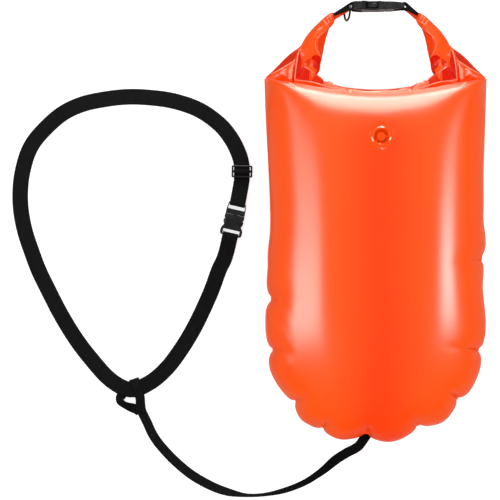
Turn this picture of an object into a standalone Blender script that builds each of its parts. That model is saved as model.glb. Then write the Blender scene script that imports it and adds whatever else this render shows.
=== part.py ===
# Open water swim buoy: an inflated dry bag that lies on its back, with its roll top clipped into
# a handle, a leash from its foot and a waist belt laid out beside it.
# Metres, +Z up, +Y towards the handle. The floor is z = 0 and the bag's weld seam is half its thickness up.
import math

import bmesh
import bpy
from mathutils import Matrix, Vector

# Gaps and cuts
CLEARANCE = 0.0003
OVERRUN = 0.004

# The inflated bag
BAG_WIDTH = 0.345
BAG_LENGTH = 0.561
BAG_THICKNESS = 0.170
HANDLE_RISE = 0.120
LINER_FILM = 0.0008

# The rolled collar, its arms and the folded neck
COLLAR_THICKNESS = 0.012
COLLAR_DEPTH = 0.040
NECK_DEPTH = 0.048
STIFFENER_THICKNESS = 0.0015
STIFFENER_WIDTH = 0.022

# Webbing
BELT_WIDTH = 0.025
LEASH_WIDTH = 0.015
HANDLE_WEBBING = 0.038
WEBBING_THICKNESS = 0.0015

# Accessory ring, hung in the left webbing tab
RING_WIRE = 0.0035
RING_INNER_WIDTH = 0.042
RING_DROP = 0.019
RING_TILT = math.radians(10)
RING_SQUARENESS = 0.7
RING_PLACE_SHARE = 0.2

# Inflation valves
VALVE_ACROSS = 0.0048
VALVE_FROM_TOP = 0.092
VALVE_SINK = 0.0022
FLANGE_RADIUS = 0.019
FLANGE_THICKNESS = 0.0012
WELL_RADIUS = 0.013
WELL_DEPTH = 0.011
VALVE_WALL = 0.001
STEM_RADIUS = 0.0063
STEM_BORE_RADIUS = 0.004
STEM_LENGTH = 0.020
STEM_TOP_DEPTH = 0.0015
STEM_LIP_RADIUS = 0.0072
STEM_COLLAR_RADIUS = 0.008
STEM_RIM_THICKNESS = 0.0013
PLUG_HEAD_RADIUS = 0.006
PLUG_HEAD_THICKNESS = 0.0012
PLUG_STUB_LENGTH = 0.0065
PLUG_TAB_LENGTH = 0.007
PLUG_TAB_HEIGHT = 0.0012
TETHER_WIDTH = 0.003
TETHER_THICKNESS = 0.0008
TETHER_REACH = 0.003
FLAP_RADIUS = 0.0052
FLAP_THICKNESS = 0.0008
FLAP_ROOM = 0.009

# Belt slider
SLIDER_WIDTH = 0.033
SLIDER_LENGTH = 0.019
SLIDER_RAIL = 0.0026
SLIDER_BAR = 0.0036
SLIDER_PLATE = 0.0025

# Sewn end of the leash, welded into the seam at the foot
LEASH_TAB_LENGTH = 0.024

# The seam line seen from above, from the top left corner round the foot to the top right corner and back
# along the top edge: shares of half the bag's width, and of its length up from the foot
OUTLINE_SHARES = (
    (-0.997, 1.000), (-0.984, 0.892), (-0.955, 0.721), (-0.943, 0.594), (-0.966, 0.495),
    (-0.907, 0.394), (-0.988, 0.329), (-0.905, 0.256), (-0.952, 0.207), (-0.849, 0.144),
    (-0.710, 0.116), (-0.705, 0.080), (-0.624, 0.051), (-0.469, 0.042), (-0.391, 0.014),
    (-0.247, 0.006), (-0.085, 0.030), (0.076, 0.000), (0.256, 0.011), (0.376, 0.053),
    (0.548, 0.047), (0.669, 0.073), (0.721, 0.124), (0.849, 0.141), (0.943, 0.210),
    (0.903, 0.256), (0.987, 0.307), (0.961, 0.417), (0.922, 0.501), (0.966, 0.624),
    (0.970, 0.749), (0.987, 0.905), (0.997, 1.000),
    (0.759, 0.986), (0.400, 0.963), (0.000, 0.950), (-0.400, 0.963), (-0.759, 0.986),
)
# Where the seam is pinched between two swelling lobes, and the two ends of the top edge
PINCHES = (5, 7, 10, 13, 16, 19, 22, 25, 28)
TOP_CORNERS = (0, 32)
OUTLINE_STEPS = 3
LOBE_REACH_SHARE = 0.45
CALM_ROUNDS = 24
# Rings of the swell, as shares of the way from the seam to the flat middle
RING_SHARES = (0.985, 0.94, 0.87, 0.77, 0.63, 0.46, 0.26, 0.0)
SWELL_POWER = 2.2
SWELL_ROUNDNESS = 0.7
FRONT_FLAT_SHARE = 0.12
BACK_FLAT_SHARE = 0.30
NECK_FLAT_SHARE = 0.45
# The spine under the middle, shares of the bag's length up from the foot
SPINE_SHARES = (0.25, 0.857)
# How far the spine's head spreads under the top edge, and where along the bag the spread starts
HEAD_SPREAD_SHARE = 0.7
SPREAD_FROM_SHARE = 0.58

# The collar's middle line from the left arm's tip to the middle of the roll: shares of half the bag's
# width, of its length and of the handle's rise above it, then of the collar's thickness and depth
COLLAR_SHARES = (
    (-0.382, 1.0000, 0.818, 1.00, 0.84),
    (-0.454, 1.0000, 0.687, 2.00, 0.95),
    (-0.526, 1.0000, 0.505, 2.80, 1.00),
    (-0.566, 1.0000, 0.313, 3.20, 1.00),
    (-0.562, 1.0000, 0.145, 2.90, 1.00),
    (-0.499, 0.9940, 0.000, 1.90, 1.00),
    (-0.391, 0.9755, 0.000, 1.05, 0.95),
    (-0.200, 0.9650, 0.000, 0.95, 0.90),
    (0.000, 0.9615, 0.000, 0.95, 0.90),
)
ARM_STATIONS = 7
COLLAR_STEPS = 3
COLLAR_SIDES = 12
COLLAR_SQUARENESS = 0.8
# The outer fold of the neck beside each arm: shares of half the bag's width and of the handle's rise
NECK_EDGE_SHARES = ((-0.985, 0.019), (-0.840, 0.224), (-0.712, 0.411))

# The handle buckle's place: the webbing bar end of its socket
HANDLE_SOCKET_X = -0.0365

# A side release buckle, all as shares of its webbing's width: x across, y along from the socket's bar end
BUCKLE_THICKNESS_SHARE = 0.38
SOCKET_OUTLINE_SHARES = (
    (0.58, 0.00), (0.67, 0.05), (0.70, 0.16), (0.70, 0.38), (0.64, 0.52), (0.56, 0.62),
    (0.54, 0.84), (0.58, 1.04), (0.63, 1.16), (0.62, 1.36),
)
SOCKET_SIDE_SHARES = ((-0.10, 0.135), (0.20, 0.170), (0.55, 0.187), (1.00, 0.184), (1.50, 0.155))
PLUG_OUTLINE_SHARES = ((0.60, 1.37), (0.61, 1.46), (0.60, 1.74), (0.58, 1.96), (0.54, 2.12))
PLUG_SIDE_SHARES = ((0.50, 0.165), (1.37, 0.165), (1.60, 0.160), (1.90, 0.130), (2.22, 0.090))
PRONG_OUTLINE_SHARES = (
    (0.29, 1.355), (0.36, 1.355), (0.42, 1.15), (0.46, 1.04), (0.60, 1.02), (0.64, 0.96), (0.62, 0.80),
    (0.52, 0.62), (0.44, 0.56), (0.38, 0.60), (0.36, 0.80), (0.33, 1.10),
)
PRONG_THICKNESS_SHARE = 0.17
PRONG_PIVOT_SHARES = (0.325, 1.355)
CAVITY_SHARES = {"half_width": 0.53, "height": 0.22, "bottom": 0.52}
WINDOW_SHARES = {"inner": 0.44, "bottom": 0.58, "top": 1.06}
SOCKET_SLOT_SHARES = (0.11, 0.39)
PLUG_SLOT_SHARES = (1.70, 2.01)
SLOT_HALF_WIDTH_SHARE = 0.53
BAR_THICKNESS_SHARE = 0.11
TONGUE_SHARES = {"half_width": 0.12, "thickness": 0.14, "tip": 0.70}
SOCKET_LENGTH_SHARE = 1.36
BUCKLE_LENGTH_SHARE = 2.12
RELEASE_SHARE = 0.84
WRAP_STEP = math.radians(36)

# The waist buckle's place on the floor: the middle of its socket's bar end, and its turn about the vertical
WAIST_SOCKET = (-0.2259, -0.0219)
WAIST_TURN = math.radians(-13)
WAIST_HEIGHT = 0.0052

# Cord routes. The leash starts at the seam and its face turns on edge half way
LEASH_ROUTE = (
    (-0.0235, -0.3450, 0.0850), (-0.0242, -0.3460, 0.0850), (-0.0264, -0.3484, 0.0844),
    (-0.0330, -0.3532, 0.0800), (-0.0440, -0.3597, 0.0700), (-0.0610, -0.3725, 0.0510),
    (-0.0820, -0.3920, 0.0310),
    (-0.1080, -0.4105, 0.0165), (-0.1390, -0.4235, 0.0092), (-0.1710, -0.4305, 0.0083),
    (-0.2020, -0.4315, 0.0082), (-0.2340, -0.4255, 0.0057), (-0.2625, -0.4140, 0.0038),
    (-0.2915, -0.3965, 0.0023), (-0.3210, -0.3705, 0.0015), (-0.3450, -0.3420, 0.0012),
    (-0.3576, -0.3165, 0.0012), (-0.3660, -0.2995, 0.0012),
)
LEASH_TWIST = (0, 0, 0, 0, 4, 12, 46, 58, 64, 78, 76, 38, 20, 8, 2, 0, 0, 0)
LOOP_ROUTE = (
    (-0.3650, -0.3015, 0.0031), (-0.3668, -0.2950, 0.0031), (-0.3677, -0.2870, 0.0042),
    (-0.3684, -0.2770, 0.0058), (-0.3722, -0.2640, 0.0058), (-0.3760, -0.2530, 0.0058),
    (-0.3771, -0.2492, 0.0051), (-0.3775, -0.2482, 0.0034), (-0.3774, -0.2491, 0.0020),
    (-0.3776, -0.2510, 0.0012), (-0.3790, -0.2550, 0.0011), (-0.3835, -0.2610, 0.0011),
    (-0.3900, -0.2665, 0.0011), (-0.3958, -0.2715, 0.0011), (-0.3992, -0.2770, 0.0012),
    (-0.3996, -0.2825, 0.0040), (-0.3958, -0.2872, 0.0058), (-0.3900, -0.2903, 0.0055),
    (-0.3835, -0.2928, 0.0038), (-0.3763, -0.2955, 0.0013),
)
LOOP_TWIST = (0, 0, 0, 0, 0, 0, 0, 0, 0, 0, 0, 0, 0, 0, 0, 28, 42, 38, 20, 0)
LOOP_TURN_OVER = (6, 9)
BELT_ROUTE = (
    (-0.2284, -0.0328, 0.0066), (-0.2313, -0.0452, 0.0042), (-0.2360, -0.0600, 0.0030),
    (-0.2437, -0.0760, 0.0018), (-0.2550, -0.1070, 0.0012), (-0.2690, -0.1390, 0.0012),
    (-0.2850, -0.1710, 0.0012), (-0.3040, -0.2020, 0.0012), (-0.3260, -0.2310, 0.0020),
    (-0.3530, -0.2540, 0.0033), (-0.3840, -0.2650, 0.0034), (-0.4160, -0.2490, 0.0028),
    (-0.4480, -0.2140, 0.0014), (-0.4720, -0.1820, 0.0012), (-0.4950, -0.1440, 0.0012),
    (-0.5140, -0.1070, 0.0012), (-0.5290, -0.0760, 0.0012), (-0.5410, -0.0440, 0.0012),
    (-0.5510, -0.0130, 0.0012), (-0.5570, 0.0190, 0.0012), (-0.5580, 0.0510, 0.0012),
    (-0.5540, 0.0820, 0.0012), (-0.5440, 0.1140, 0.0012), (-0.5270, 0.1390, 0.0012),
    (-0.4950, 0.1690, 0.0012), (-0.4640, 0.1850, 0.0012), (-0.4320, 0.1930, 0.0012),
    (-0.3920, 0.1980, 0.0012), (-0.3530, 0.1970, 0.0012), (-0.3130, 0.1910, 0.0012),
    (-0.2740, 0.1770, 0.0012), (-0.2420, 0.1540, 0.0014), (-0.2230, 0.1300, 0.0022),
    (-0.2115, 0.1060, 0.0029), (-0.2076, 0.0900, 0.0029), (-0.2073, 0.0862, 0.0028),
    (-0.2072, 0.0825, 0.0056), (-0.2072, 0.0775, 0.0056), (-0.2073, 0.0738, 0.0028),
    (-0.2075, 0.0708, 0.0029), (-0.2075, 0.0690, 0.0029),
)
BELT_STEPS = 2
LEASH_STEPS = 2
# The doubled webbing between the waist plug and the slider, along the floor from the plug's bar
ADJUST_ROUTE = ((-0.2098, 0.0527), (-0.2080, 0.0635), (-0.2075, 0.0664), (-0.2075, 0.0682), (-0.2073, 0.0800),
                (-0.2071, 0.0835))
SLIDER_PLACE = (-0.2072, 0.0800)
SLIDER_TURN = math.radians(-1)
LAYER_HEIGHTS = (0.00105, 0.0029)

BUOY_LENGTH = BAG_LENGTH + HANDLE_RISE
SEAM_HEIGHT = BAG_THICKNESS / 2
FOOT_Y = -BUOY_LENGTH / 2
HALF_WIDTH = BAG_WIDTH / 2
HANDLE_CENTRE = Vector((HANDLE_SOCKET_X, BUOY_LENGTH / 2 - HANDLE_WEBBING * BUCKLE_THICKNESS_SHARE / 2,
                        SEAM_HEIGHT))
LEAF = CLEARANCE / 2

for leftover in list(bpy.data.objects):
    bpy.data.objects.remove(leftover)

parts = bpy.data.collections.new("swim_buoy")
cutters = bpy.data.collections.new("cutters")
bpy.context.scene.collection.children.link(parts)
bpy.context.scene.collection.children.link(cutters)


def finish_of(name, colour, roughness):
    """A Principled material of one colour."""
    made = bpy.data.materials.new(name)
    made.use_nodes = True
    shader = made.node_tree.nodes["Principled BSDF"]
    shader.inputs["Base Color"].default_value = (*colour, 1)
    shader.inputs["Roughness"].default_value = roughness
    return made


FILM_ORANGE = finish_of("orange_film", (1.0, 0.12, 0.01), 0.25)
VALVE_CLEAR = finish_of("orange_valve", (1.0, 0.22, 0.06), 0.3)
WEBBING_BLACK = finish_of("black_webbing", (0.012, 0.012, 0.012), 0.8)
PLASTIC_BLACK = finish_of("black_plastic", (0.015, 0.015, 0.017), 0.35)
LINER_GREY = finish_of("liner_film", (0.85, 0.35, 0.15), 0.4)
STIFFENER_WHITE = finish_of("stiffener_plastic", (0.8, 0.8, 0.78), 0.5)


def add_object(name, mesh, material, where=None):
    """Link a mesh as an object with its own material and place."""
    made = bpy.data.objects.new(name, mesh)
    parts.objects.link(made)
    if material:
        mesh.materials.clear()
        mesh.materials.append(material)
    if where is not None:
        made.matrix_world = where
    return made


def mesh_from(bm, name, smooth=None):
    """Close a bmesh into a mesh, smooth where its faces meet at less than the angle."""
    bmesh.ops.remove_doubles(bm, verts=bm.verts, dist=CLEARANCE / 100)
    bmesh.ops.recalc_face_normals(bm, faces=bm.faces)
    mesh = bpy.data.meshes.new(name)
    bm.to_mesh(mesh)
    bm.free()
    if smooth is not None:
        mesh.shade_smooth()
        mesh.set_sharp_from_angle(angle=math.radians(smooth))
    return mesh


def hermite(start, end, leave, arrive, t):
    return (
        start * (2 * t**3 - 3 * t**2 + 1) + leave * (t**3 - 2 * t**2 + t)
        + end * (-2 * t**3 + 3 * t**2) + arrive * (t**3 - t**2)
    )


def smooth_ring(points, sharp, steps):
    """A closed smooth curve through points, broken at the sharp ones."""
    ring = []
    count = len(points)
    for i in range(count):
        before, start, end, after = (points[(i + k) % count] for k in (-1, 0, 1, 2))
        leave = end - start if i in sharp else (end - before) / 2
        arrive = end - start if (i + 1) % count in sharp else (after - start) / 2
        ring += [hermite(start, end, leave, arrive, s / steps) for s in range(steps)]
    return ring


def smooth_run(points, steps):
    """An open smooth curve through points."""
    last = len(points) - 1
    run = []
    for i in range(last):
        start, end = points[i], points[i + 1]
        leave = (end - points[i - 1]) / 2 if i else end - start
        arrive = (points[i + 2] - start) / 2 if i + 1 < last else end - start
        run += [hermite(start, end, leave, arrive, s / steps) for s in range(steps)]
    return run + [points[last]]


def skin(bm, rings):
    """Faces between rings of as many vertices, with an end cap on the first and the last."""
    loops = [[bm.verts.new(p) for p in ring] for ring in rings]
    count = len(loops[0])
    for near, far in zip(loops, loops[1:]):
        for i in range(count):
            j = (i + 1) % count
            bm.faces.new((near[i], near[j], far[j], far[i]))
    bm.faces.new(loops[0])
    bm.faces.new(loops[-1])


# Bag


def on_plan(across, along, rise=0):
    """A point in the bag's plan from shares of its half width, its length and the handle's rise above it."""
    return Vector((across * HALF_WIDTH, FOOT_Y + along * BAG_LENGTH + rise * HANDLE_RISE, 0))


SEAM_LINE = smooth_ring([on_plan(*s) for s in OUTLINE_SHARES], PINCHES + TOP_CORNERS, OUTLINE_STEPS)
CORNER_STEPS = tuple(c * OUTLINE_STEPS for c in TOP_CORNERS)


def calmed(ring):
    """The same line with its lobes smoothed away, the corners and the top edge kept."""
    count = len(ring)
    line = list(ring)
    for _ in range(CALM_ROUNDS):
        line = [
            (line[i - 1] + line[i] * 2 + line[(i + 1) % count]) / 4 if 0 < i < CORNER_STEPS[1] else line[i]
            for i in range(count)
        ]
    return line


CALM_LINE = calmed(SEAM_LINE)
SPINE_FOOT = on_plan(0, SPINE_SHARES[0])
SPINE_HEAD = on_plan(0, SPINE_SHARES[1])


def spread_at(along):
    """How far the spine reaches out towards the sides at a place along the bag."""
    start = on_plan(0, SPREAD_FROM_SHARE).y
    way = min(max((along - start) / (SPINE_HEAD.y - start), 0.0), 1.0)
    return HEAD_SPREAD_SHARE * way**3


def swell_ring(share, height, line, calm, foot, head):
    """One ring of a swell: the line drawn in to a share of its way from the spine, at a height."""
    spine = foot != head
    lobed = max(0.0, (share - 1 + LOBE_REACH_SHARE) / LOBE_REACH_SHARE)
    ring = []
    for outer, inner in zip(line, calm):
        edge = inner.lerp(outer, lobed)
        along = min(max(edge.y, foot.y), head.y)
        heart = Vector((foot.x + edge.x * spread_at(edge.y) if spine else foot.x, along, 0))
        point = heart + (edge - heart) * share
        ring.append(Vector((point.x, point.y, height)))
    return ring


def swell_heights(flat_share, height):
    """Ring shares and heights from the seam to the flat middle."""
    for share in RING_SHARES:
        rise = (1 - share**SWELL_POWER) ** SWELL_ROUNDNESS
        yield flat_share + (1 - flat_share) * share, rise * height


def chamber(name, up, flat_share):
    """One inflated air chamber: a swell over the seam line with a flat middle, closed by the liner's plane."""
    base = SEAM_HEIGHT + up * (CLEARANCE * 1.5 + LINER_FILM)
    tall = SEAM_HEIGHT - (CLEARANCE * 1.5 + LINER_FILM)
    rings = [swell_ring(1.0, base, SEAM_LINE, CALM_LINE, SPINE_FOOT, SPINE_HEAD)]
    for share, rise in swell_heights(flat_share, tall):
        rings.append(swell_ring(share, base + up * rise, SEAM_LINE, CALM_LINE, SPINE_FOOT, SPINE_HEAD))
    bm = bmesh.new()
    skin(bm, rings)
    return add_object(name, mesh_from(bm, name, smooth=50), FILM_ORANGE)


def liner_film(name, up):
    """One film of the dry compartment, flat between the chambers and welded into the same seam."""
    low = SEAM_HEIGHT + up * LEAF
    bm = bmesh.new()
    skin(bm, [[Vector((p.x, p.y, z)) for p in SEAM_LINE] for z in (low, low + up * LINER_FILM)])
    return add_object(name, mesh_from(bm, name), LINER_GREY)


def cut(target, cutter, operation="DIFFERENCE"):
    """Cut one object by another and put the cutter away."""
    for user in cutter.users_collection:
        user.objects.unlink(cutter)
    cutters.objects.link(cutter)
    cutter.hide_render = True
    cutter.display_type = "WIRE"
    tool = target.modifiers.new(cutter.name, "BOOLEAN")
    tool.operation = operation
    tool.object = cutter
    tool.solver = "EXACT"


def turned(name, profile, steps, material, where):
    """A solid turned about its own Z from a profile of (radius, height) that runs down its outer side."""
    bm = bmesh.new()
    corners = [bm.verts.new((r, 0, z)) for r, z in profile]
    for a, b in zip(corners, corners[1:]):
        bm.edges.new((a, b))
    if profile[0][0] > 0:
        bm.edges.new((corners[-1], corners[0]))
    mesh = bpy.data.meshes.new(name)
    bm.to_mesh(mesh)
    bm.free()
    made = add_object(name, mesh, material, where)
    screw = made.modifiers.new("turn", "SCREW")
    screw.steps = steps
    screw.render_steps = steps
    screw.use_merge_vertices = True
    screw.merge_threshold = CLEARANCE / 10
    screw.use_smooth_shade = False
    return made


# Valves


def valve_frame(side):
    """The valve's own frame: Z points out of the chamber from the film's outer face, less its sink."""
    out = BAG_THICKNESS - VALVE_SINK if side > 0 else VALVE_SINK
    place = Matrix.Translation((VALVE_ACROSS, FOOT_Y + BAG_LENGTH - VALVE_FROM_TOP, out))
    return place if side > 0 else place @ Matrix.Rotation(math.pi, 4, "X")


def valve(prefix, side, host):
    """Flange with its well, sliding stem, tethered plug and check flap, let into a chamber."""
    where = valve_frame(side)
    well_floor = -WELL_DEPTH
    flange = [
        (FLANGE_RADIUS, FLANGE_THICKNESS), (FLANGE_RADIUS, 0), (WELL_RADIUS, 0), (WELL_RADIUS, well_floor),
        (STEM_RADIUS + CLEARANCE, well_floor), (STEM_RADIUS + CLEARANCE, well_floor + VALVE_WALL),
        (WELL_RADIUS - VALVE_WALL, well_floor + VALVE_WALL), (WELL_RADIUS - VALVE_WALL, FLANGE_THICKNESS),
    ]
    turned(f"{prefix}_valve_flange", flange, 24, VALVE_CLEAR, where)
    top = -STEM_TOP_DEPTH
    foot = top - STEM_LENGTH
    stem = [
        (STEM_LIP_RADIUS, top), (STEM_LIP_RADIUS, top - STEM_RIM_THICKNESS),
        (STEM_RADIUS, top - STEM_RIM_THICKNESS), (STEM_RADIUS, foot + STEM_RIM_THICKNESS),
        (STEM_COLLAR_RADIUS, foot + STEM_RIM_THICKNESS), (STEM_COLLAR_RADIUS, foot),
        (STEM_BORE_RADIUS, foot), (STEM_BORE_RADIUS, top),
    ]
    turned(f"{prefix}_valve_stem", stem, 16, VALVE_CLEAR, where)
    head = top + CLEARANCE
    plug = [
        (0, head + PLUG_HEAD_THICKNESS), (PLUG_HEAD_RADIUS, head + PLUG_HEAD_THICKNESS),
        (PLUG_HEAD_RADIUS, head), (STEM_BORE_RADIUS - CLEARANCE, head),
        (STEM_BORE_RADIUS - CLEARANCE, head - PLUG_STUB_LENGTH), (0, head - PLUG_STUB_LENGTH),
    ]
    made = turned(f"{prefix}_valve_plug", plug, 16, VALVE_CLEAR, where)
    tab = box(f"{prefix}_plug_tab", (PLUG_TAB_LENGTH, PLUG_TAB_LENGTH / 3, PLUG_TAB_HEIGHT * 2),
              (0, 0, head + PLUG_HEAD_THICKNESS), where)
    cut(made, tab, "UNION")
    middle = (head + top - STEM_RIM_THICKNESS) / 2 + PLUG_HEAD_THICKNESS / 4
    reach = [
        (PLUG_HEAD_RADIUS + CLEARANCE, head + PLUG_HEAD_THICKNESS / 2),
        (STEM_LIP_RADIUS + TETHER_REACH / 2, head + PLUG_HEAD_THICKNESS / 2),
        (STEM_LIP_RADIUS + TETHER_REACH, middle),
        (STEM_LIP_RADIUS + TETHER_REACH / 2, top - STEM_RIM_THICKNESS / 2),
        (STEM_LIP_RADIUS + CLEARANCE, top - STEM_RIM_THICKNESS / 2),
    ]
    tether = strap(f"{prefix}_valve_tether", [Vector((x, 0, z)) for x, z in reach], [Vector((0, 1, 0))] * 5,
                   TETHER_WIDTH, TETHER_THICKNESS, 2, VALVE_CLEAR)
    tether.matrix_world = where
    flap = [
        (0, foot - CLEARANCE), (FLAP_RADIUS, foot - CLEARANCE),
        (FLAP_RADIUS, foot - CLEARANCE - FLAP_THICKNESS), (0, foot - CLEARANCE - FLAP_THICKNESS),
    ]
    turned(f"{prefix}_valve_flap", flap, 16, VALVE_CLEAR, where)
    room = [
        (0, OVERRUN), (FLANGE_RADIUS + CLEARANCE, OVERRUN), (FLANGE_RADIUS + CLEARANCE, -CLEARANCE),
        (WELL_RADIUS + CLEARANCE, -CLEARANCE), (WELL_RADIUS + CLEARANCE, well_floor - CLEARANCE),
        (STEM_COLLAR_RADIUS + CLEARANCE, well_floor - CLEARANCE),
        (STEM_COLLAR_RADIUS + CLEARANCE, foot - FLAP_ROOM), (0, foot - FLAP_ROOM),
    ]
    cut(host, turned(f"{prefix}_valve_room", room, 24, None, where))
    pivot = where @ Vector((-FLAP_RADIUS, 0, foot - CLEARANCE))
    print(f"{prefix} valve: axis {(where.to_3x3() @ Vector((0, 0, 1)))[:]}, flap pivot {pivot[:]}")
    travel = STEM_TOP_DEPTH + STEM_LENGTH - STEM_RIM_THICKNESS - WELL_DEPTH - CLEARANCE
    print(f"{prefix} valve: stem travel {travel}")


def box(name, size, centre, where=None, material=None):
    """A box of a size about a centre in its own frame."""
    bm = bmesh.new()
    bmesh.ops.create_cube(bm, size=1)
    bmesh.ops.scale(bm, vec=size, verts=bm.verts)
    bmesh.ops.translate(bm, vec=centre, verts=bm.verts)
    return add_object(name, mesh_from(bm, name), material, where)


# Straps


def strap(name, route, sides, width, thickness, steps, material):
    """Flat webbing along a route; sides are the directions its width lies in."""
    run = smooth_run(route, steps)
    across = smooth_run(sides, steps)
    rings = []
    for i, place in enumerate(run):
        ahead = (run[min(i + 1, len(run) - 1)] - run[max(i - 1, 0)]).normalized()
        side = (across[i] - ahead * across[i].dot(ahead)).normalized()
        face = ahead.cross(side)
        rings.append([
            place + side * (a * width / 2) + face * (b * thickness / 2)
            for a, b in ((-1, -1), (1, -1), (1, 1), (-1, 1))
        ])
    bm = bmesh.new()
    skin(bm, rings)
    return add_object(name, mesh_from(bm, name, smooth=40), material)


def level_sides(route):
    """For each point of a route, the level direction square to it."""
    sides = []
    for i in range(len(route)):
        ahead = route[min(i + 1, len(route) - 1)] - route[max(i - 1, 0)]
        sides.append(Vector((ahead.y, -ahead.x, 0)).normalized())
    return sides


# Collar and neck


def collar_stations():
    """Stations from the left arm's tip over the roll to the right arm's tip: place, thickness, depth."""
    left = []
    for across, along, rise, thick, deep in COLLAR_SHARES:
        place = on_plan(across, along, rise) + Vector((0, 0, SEAM_HEIGHT))
        left.append((place, Vector((thick * COLLAR_THICKNESS, deep * COLLAR_DEPTH, 0))))
    mirrored = [(Vector((-p.x, p.y, p.z)), s) for p, s in reversed(left[:-1])]
    both = left + mirrored
    places = smooth_run([p for p, _ in both], COLLAR_STEPS)
    sizes = smooth_run([s for _, s in both], COLLAR_STEPS)
    return places, sizes


COLLAR_PLACES, COLLAR_SIZES = collar_stations()


def ahead_at(places, i):
    return (places[min(i + 1, len(places) - 1)] - places[max(i - 1, 0)]).normalized()


def collar_piece(name, first, last):
    """One stretch of the roll: flattened round sections square to its line."""
    rings = []
    for i in range(first, last + 1):
        ahead = ahead_at(COLLAR_PLACES, i)
        inward = Vector((-ahead.y, ahead.x, 0))
        drawn_in = LEAF * ((i == first) - (i == last))
        thick, deep = COLLAR_SIZES[i].x, COLLAR_SIZES[i].y
        ring = []
        for k in range(COLLAR_SIDES):
            turn = 2 * math.pi * k / COLLAR_SIDES
            flat = math.copysign(abs(math.cos(turn)) ** COLLAR_SQUARENESS, math.cos(turn))
            tall = math.copysign(abs(math.sin(turn)) ** COLLAR_SQUARENESS, math.sin(turn))
            ring.append(COLLAR_PLACES[i] + ahead * drawn_in + inward * (flat * thick / 2)
                        + Vector((0, 0, tall * deep / 2)))
        rings.append(ring)
    bm = bmesh.new()
    skin(bm, rings)
    piece = add_object(name, mesh_from(bm, name, smooth=50), FILM_ORANGE)
    channel = strap(f"{name}_channel", STIFFENER_LINE, [Vector((0, 0, 1))] * len(STIFFENER_LINE),
                    STIFFENER_WIDTH + 2 * CLEARANCE, STIFFENER_THICKNESS + 2 * CLEARANCE, 1, None)
    cut(piece, channel)
    return piece


STIFFENER_LINE = [COLLAR_PLACES[0] - ahead_at(COLLAR_PLACES, 0) * OVERRUN, *COLLAR_PLACES,
                  COLLAR_PLACES[-1] + ahead_at(COLLAR_PLACES, len(COLLAR_PLACES) - 1) * OVERRUN]


def neck_fold(name, side):
    """The folded corner of the neck: a puffed pad between the seam's corner, the arm and the top edge."""
    edge = [on_plan(across, 1, rise) for across, rise in NECK_EDGE_SHARES]
    arm = []
    for i in range(COLLAR_STEPS * 3 - 1, COLLAR_STEPS * 5 + 1):
        ahead = ahead_at(COLLAR_PLACES, i)
        outward = Vector((ahead.y, -ahead.x, 0))
        place = COLLAR_PLACES[i] + outward * (COLLAR_SIZES[i].x / 2 + CLEARANCE * 2)
        arm.append(Vector((place.x, place.y, 0)))
    top_edge = [p for p in SEAM_LINE[CORNER_STEPS[1]:] + SEAM_LINE[:1] if p.x < arm[-1].x]
    rise = Vector((0, CLEARANCE * 2, 0))
    line = edge + arm + [p + rise for p in top_edge[:-1]]
    if side > 0:
        line = [Vector((-p.x, p.y, 0)) for p in reversed(line)]
    middle = sum(line, Vector()) / len(line)
    half = NECK_DEPTH / 2
    upper = [
        swell_ring(share, SEAM_HEIGHT + rise, line, line, middle, middle)
        for share, rise in swell_heights(NECK_FLAT_SHARE, half)
    ]
    rim = swell_ring(1.0, SEAM_HEIGHT, line, line, middle, middle)
    lower = [[Vector((p.x, p.y, BAG_THICKNESS - p.z)) for p in ring] for ring in upper]
    bm = bmesh.new()
    skin(bm, lower[::-1] + [rim] + upper)
    return add_object(name, mesh_from(bm, name, smooth=50), FILM_ORANGE)


# Buckles


def rounded_plate(name, half_outline, thickness, where, edge):
    """A plate from half an outline mirrored about the middle, with rounded edges."""
    points = [Vector((x, y, 0)) for x, y in half_outline]
    points += [Vector((-x, y, 0)) for x, y in reversed(half_outline)]
    return plate_from(name, points, thickness, where, edge)


def plate_from(name, points, thickness, where, edge):
    """A closed outline as a plate about its own middle plane; its edges are rounded by the edge size."""
    curve = bpy.data.curves.new(name, "CURVE")
    curve.dimensions = "2D"
    curve.fill_mode = "BOTH"
    curve.extrude = thickness / 2 - edge
    curve.bevel_depth = edge
    curve.bevel_resolution = 1
    curve.offset = -edge
    spline = curve.splines.new("POLY")
    spline.points.add(len(points) - 1)
    for knot, point in zip(spline.points, points):
        knot.co = (*point, 1)
    spline.use_cyclic_u = True
    drawn = bpy.data.objects.new(name, curve)
    parts.objects.link(drawn)
    shaped = drawn.evaluated_get(bpy.context.evaluated_depsgraph_get())
    mesh = bpy.data.meshes.new_from_object(shaped)
    bpy.data.objects.remove(drawn)
    bm = bmesh.new()
    bm.from_mesh(mesh)
    return add_object(name, mesh_from(bm, name, smooth=40), PLASTIC_BLACK, where)


def side_cutter(name, shares, webbing, where):
    """A solid with a side view of given half thicknesses, wider than any buckle part."""
    points = [Vector((0, y * webbing, z * webbing)) for y, z in shares]
    points += [Vector((0, y * webbing, -z * webbing)) for y, z in reversed(shares)]
    bm = bmesh.new()
    skin(bm, [[p + Vector((x * webbing, 0, 0)) for p in points] for x in (-1, 1)])
    return add_object(name, mesh_from(bm, name), None, where)


def scaled(shares, webbing):
    return [(x * webbing, y * webbing) for x, y in shares]


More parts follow.
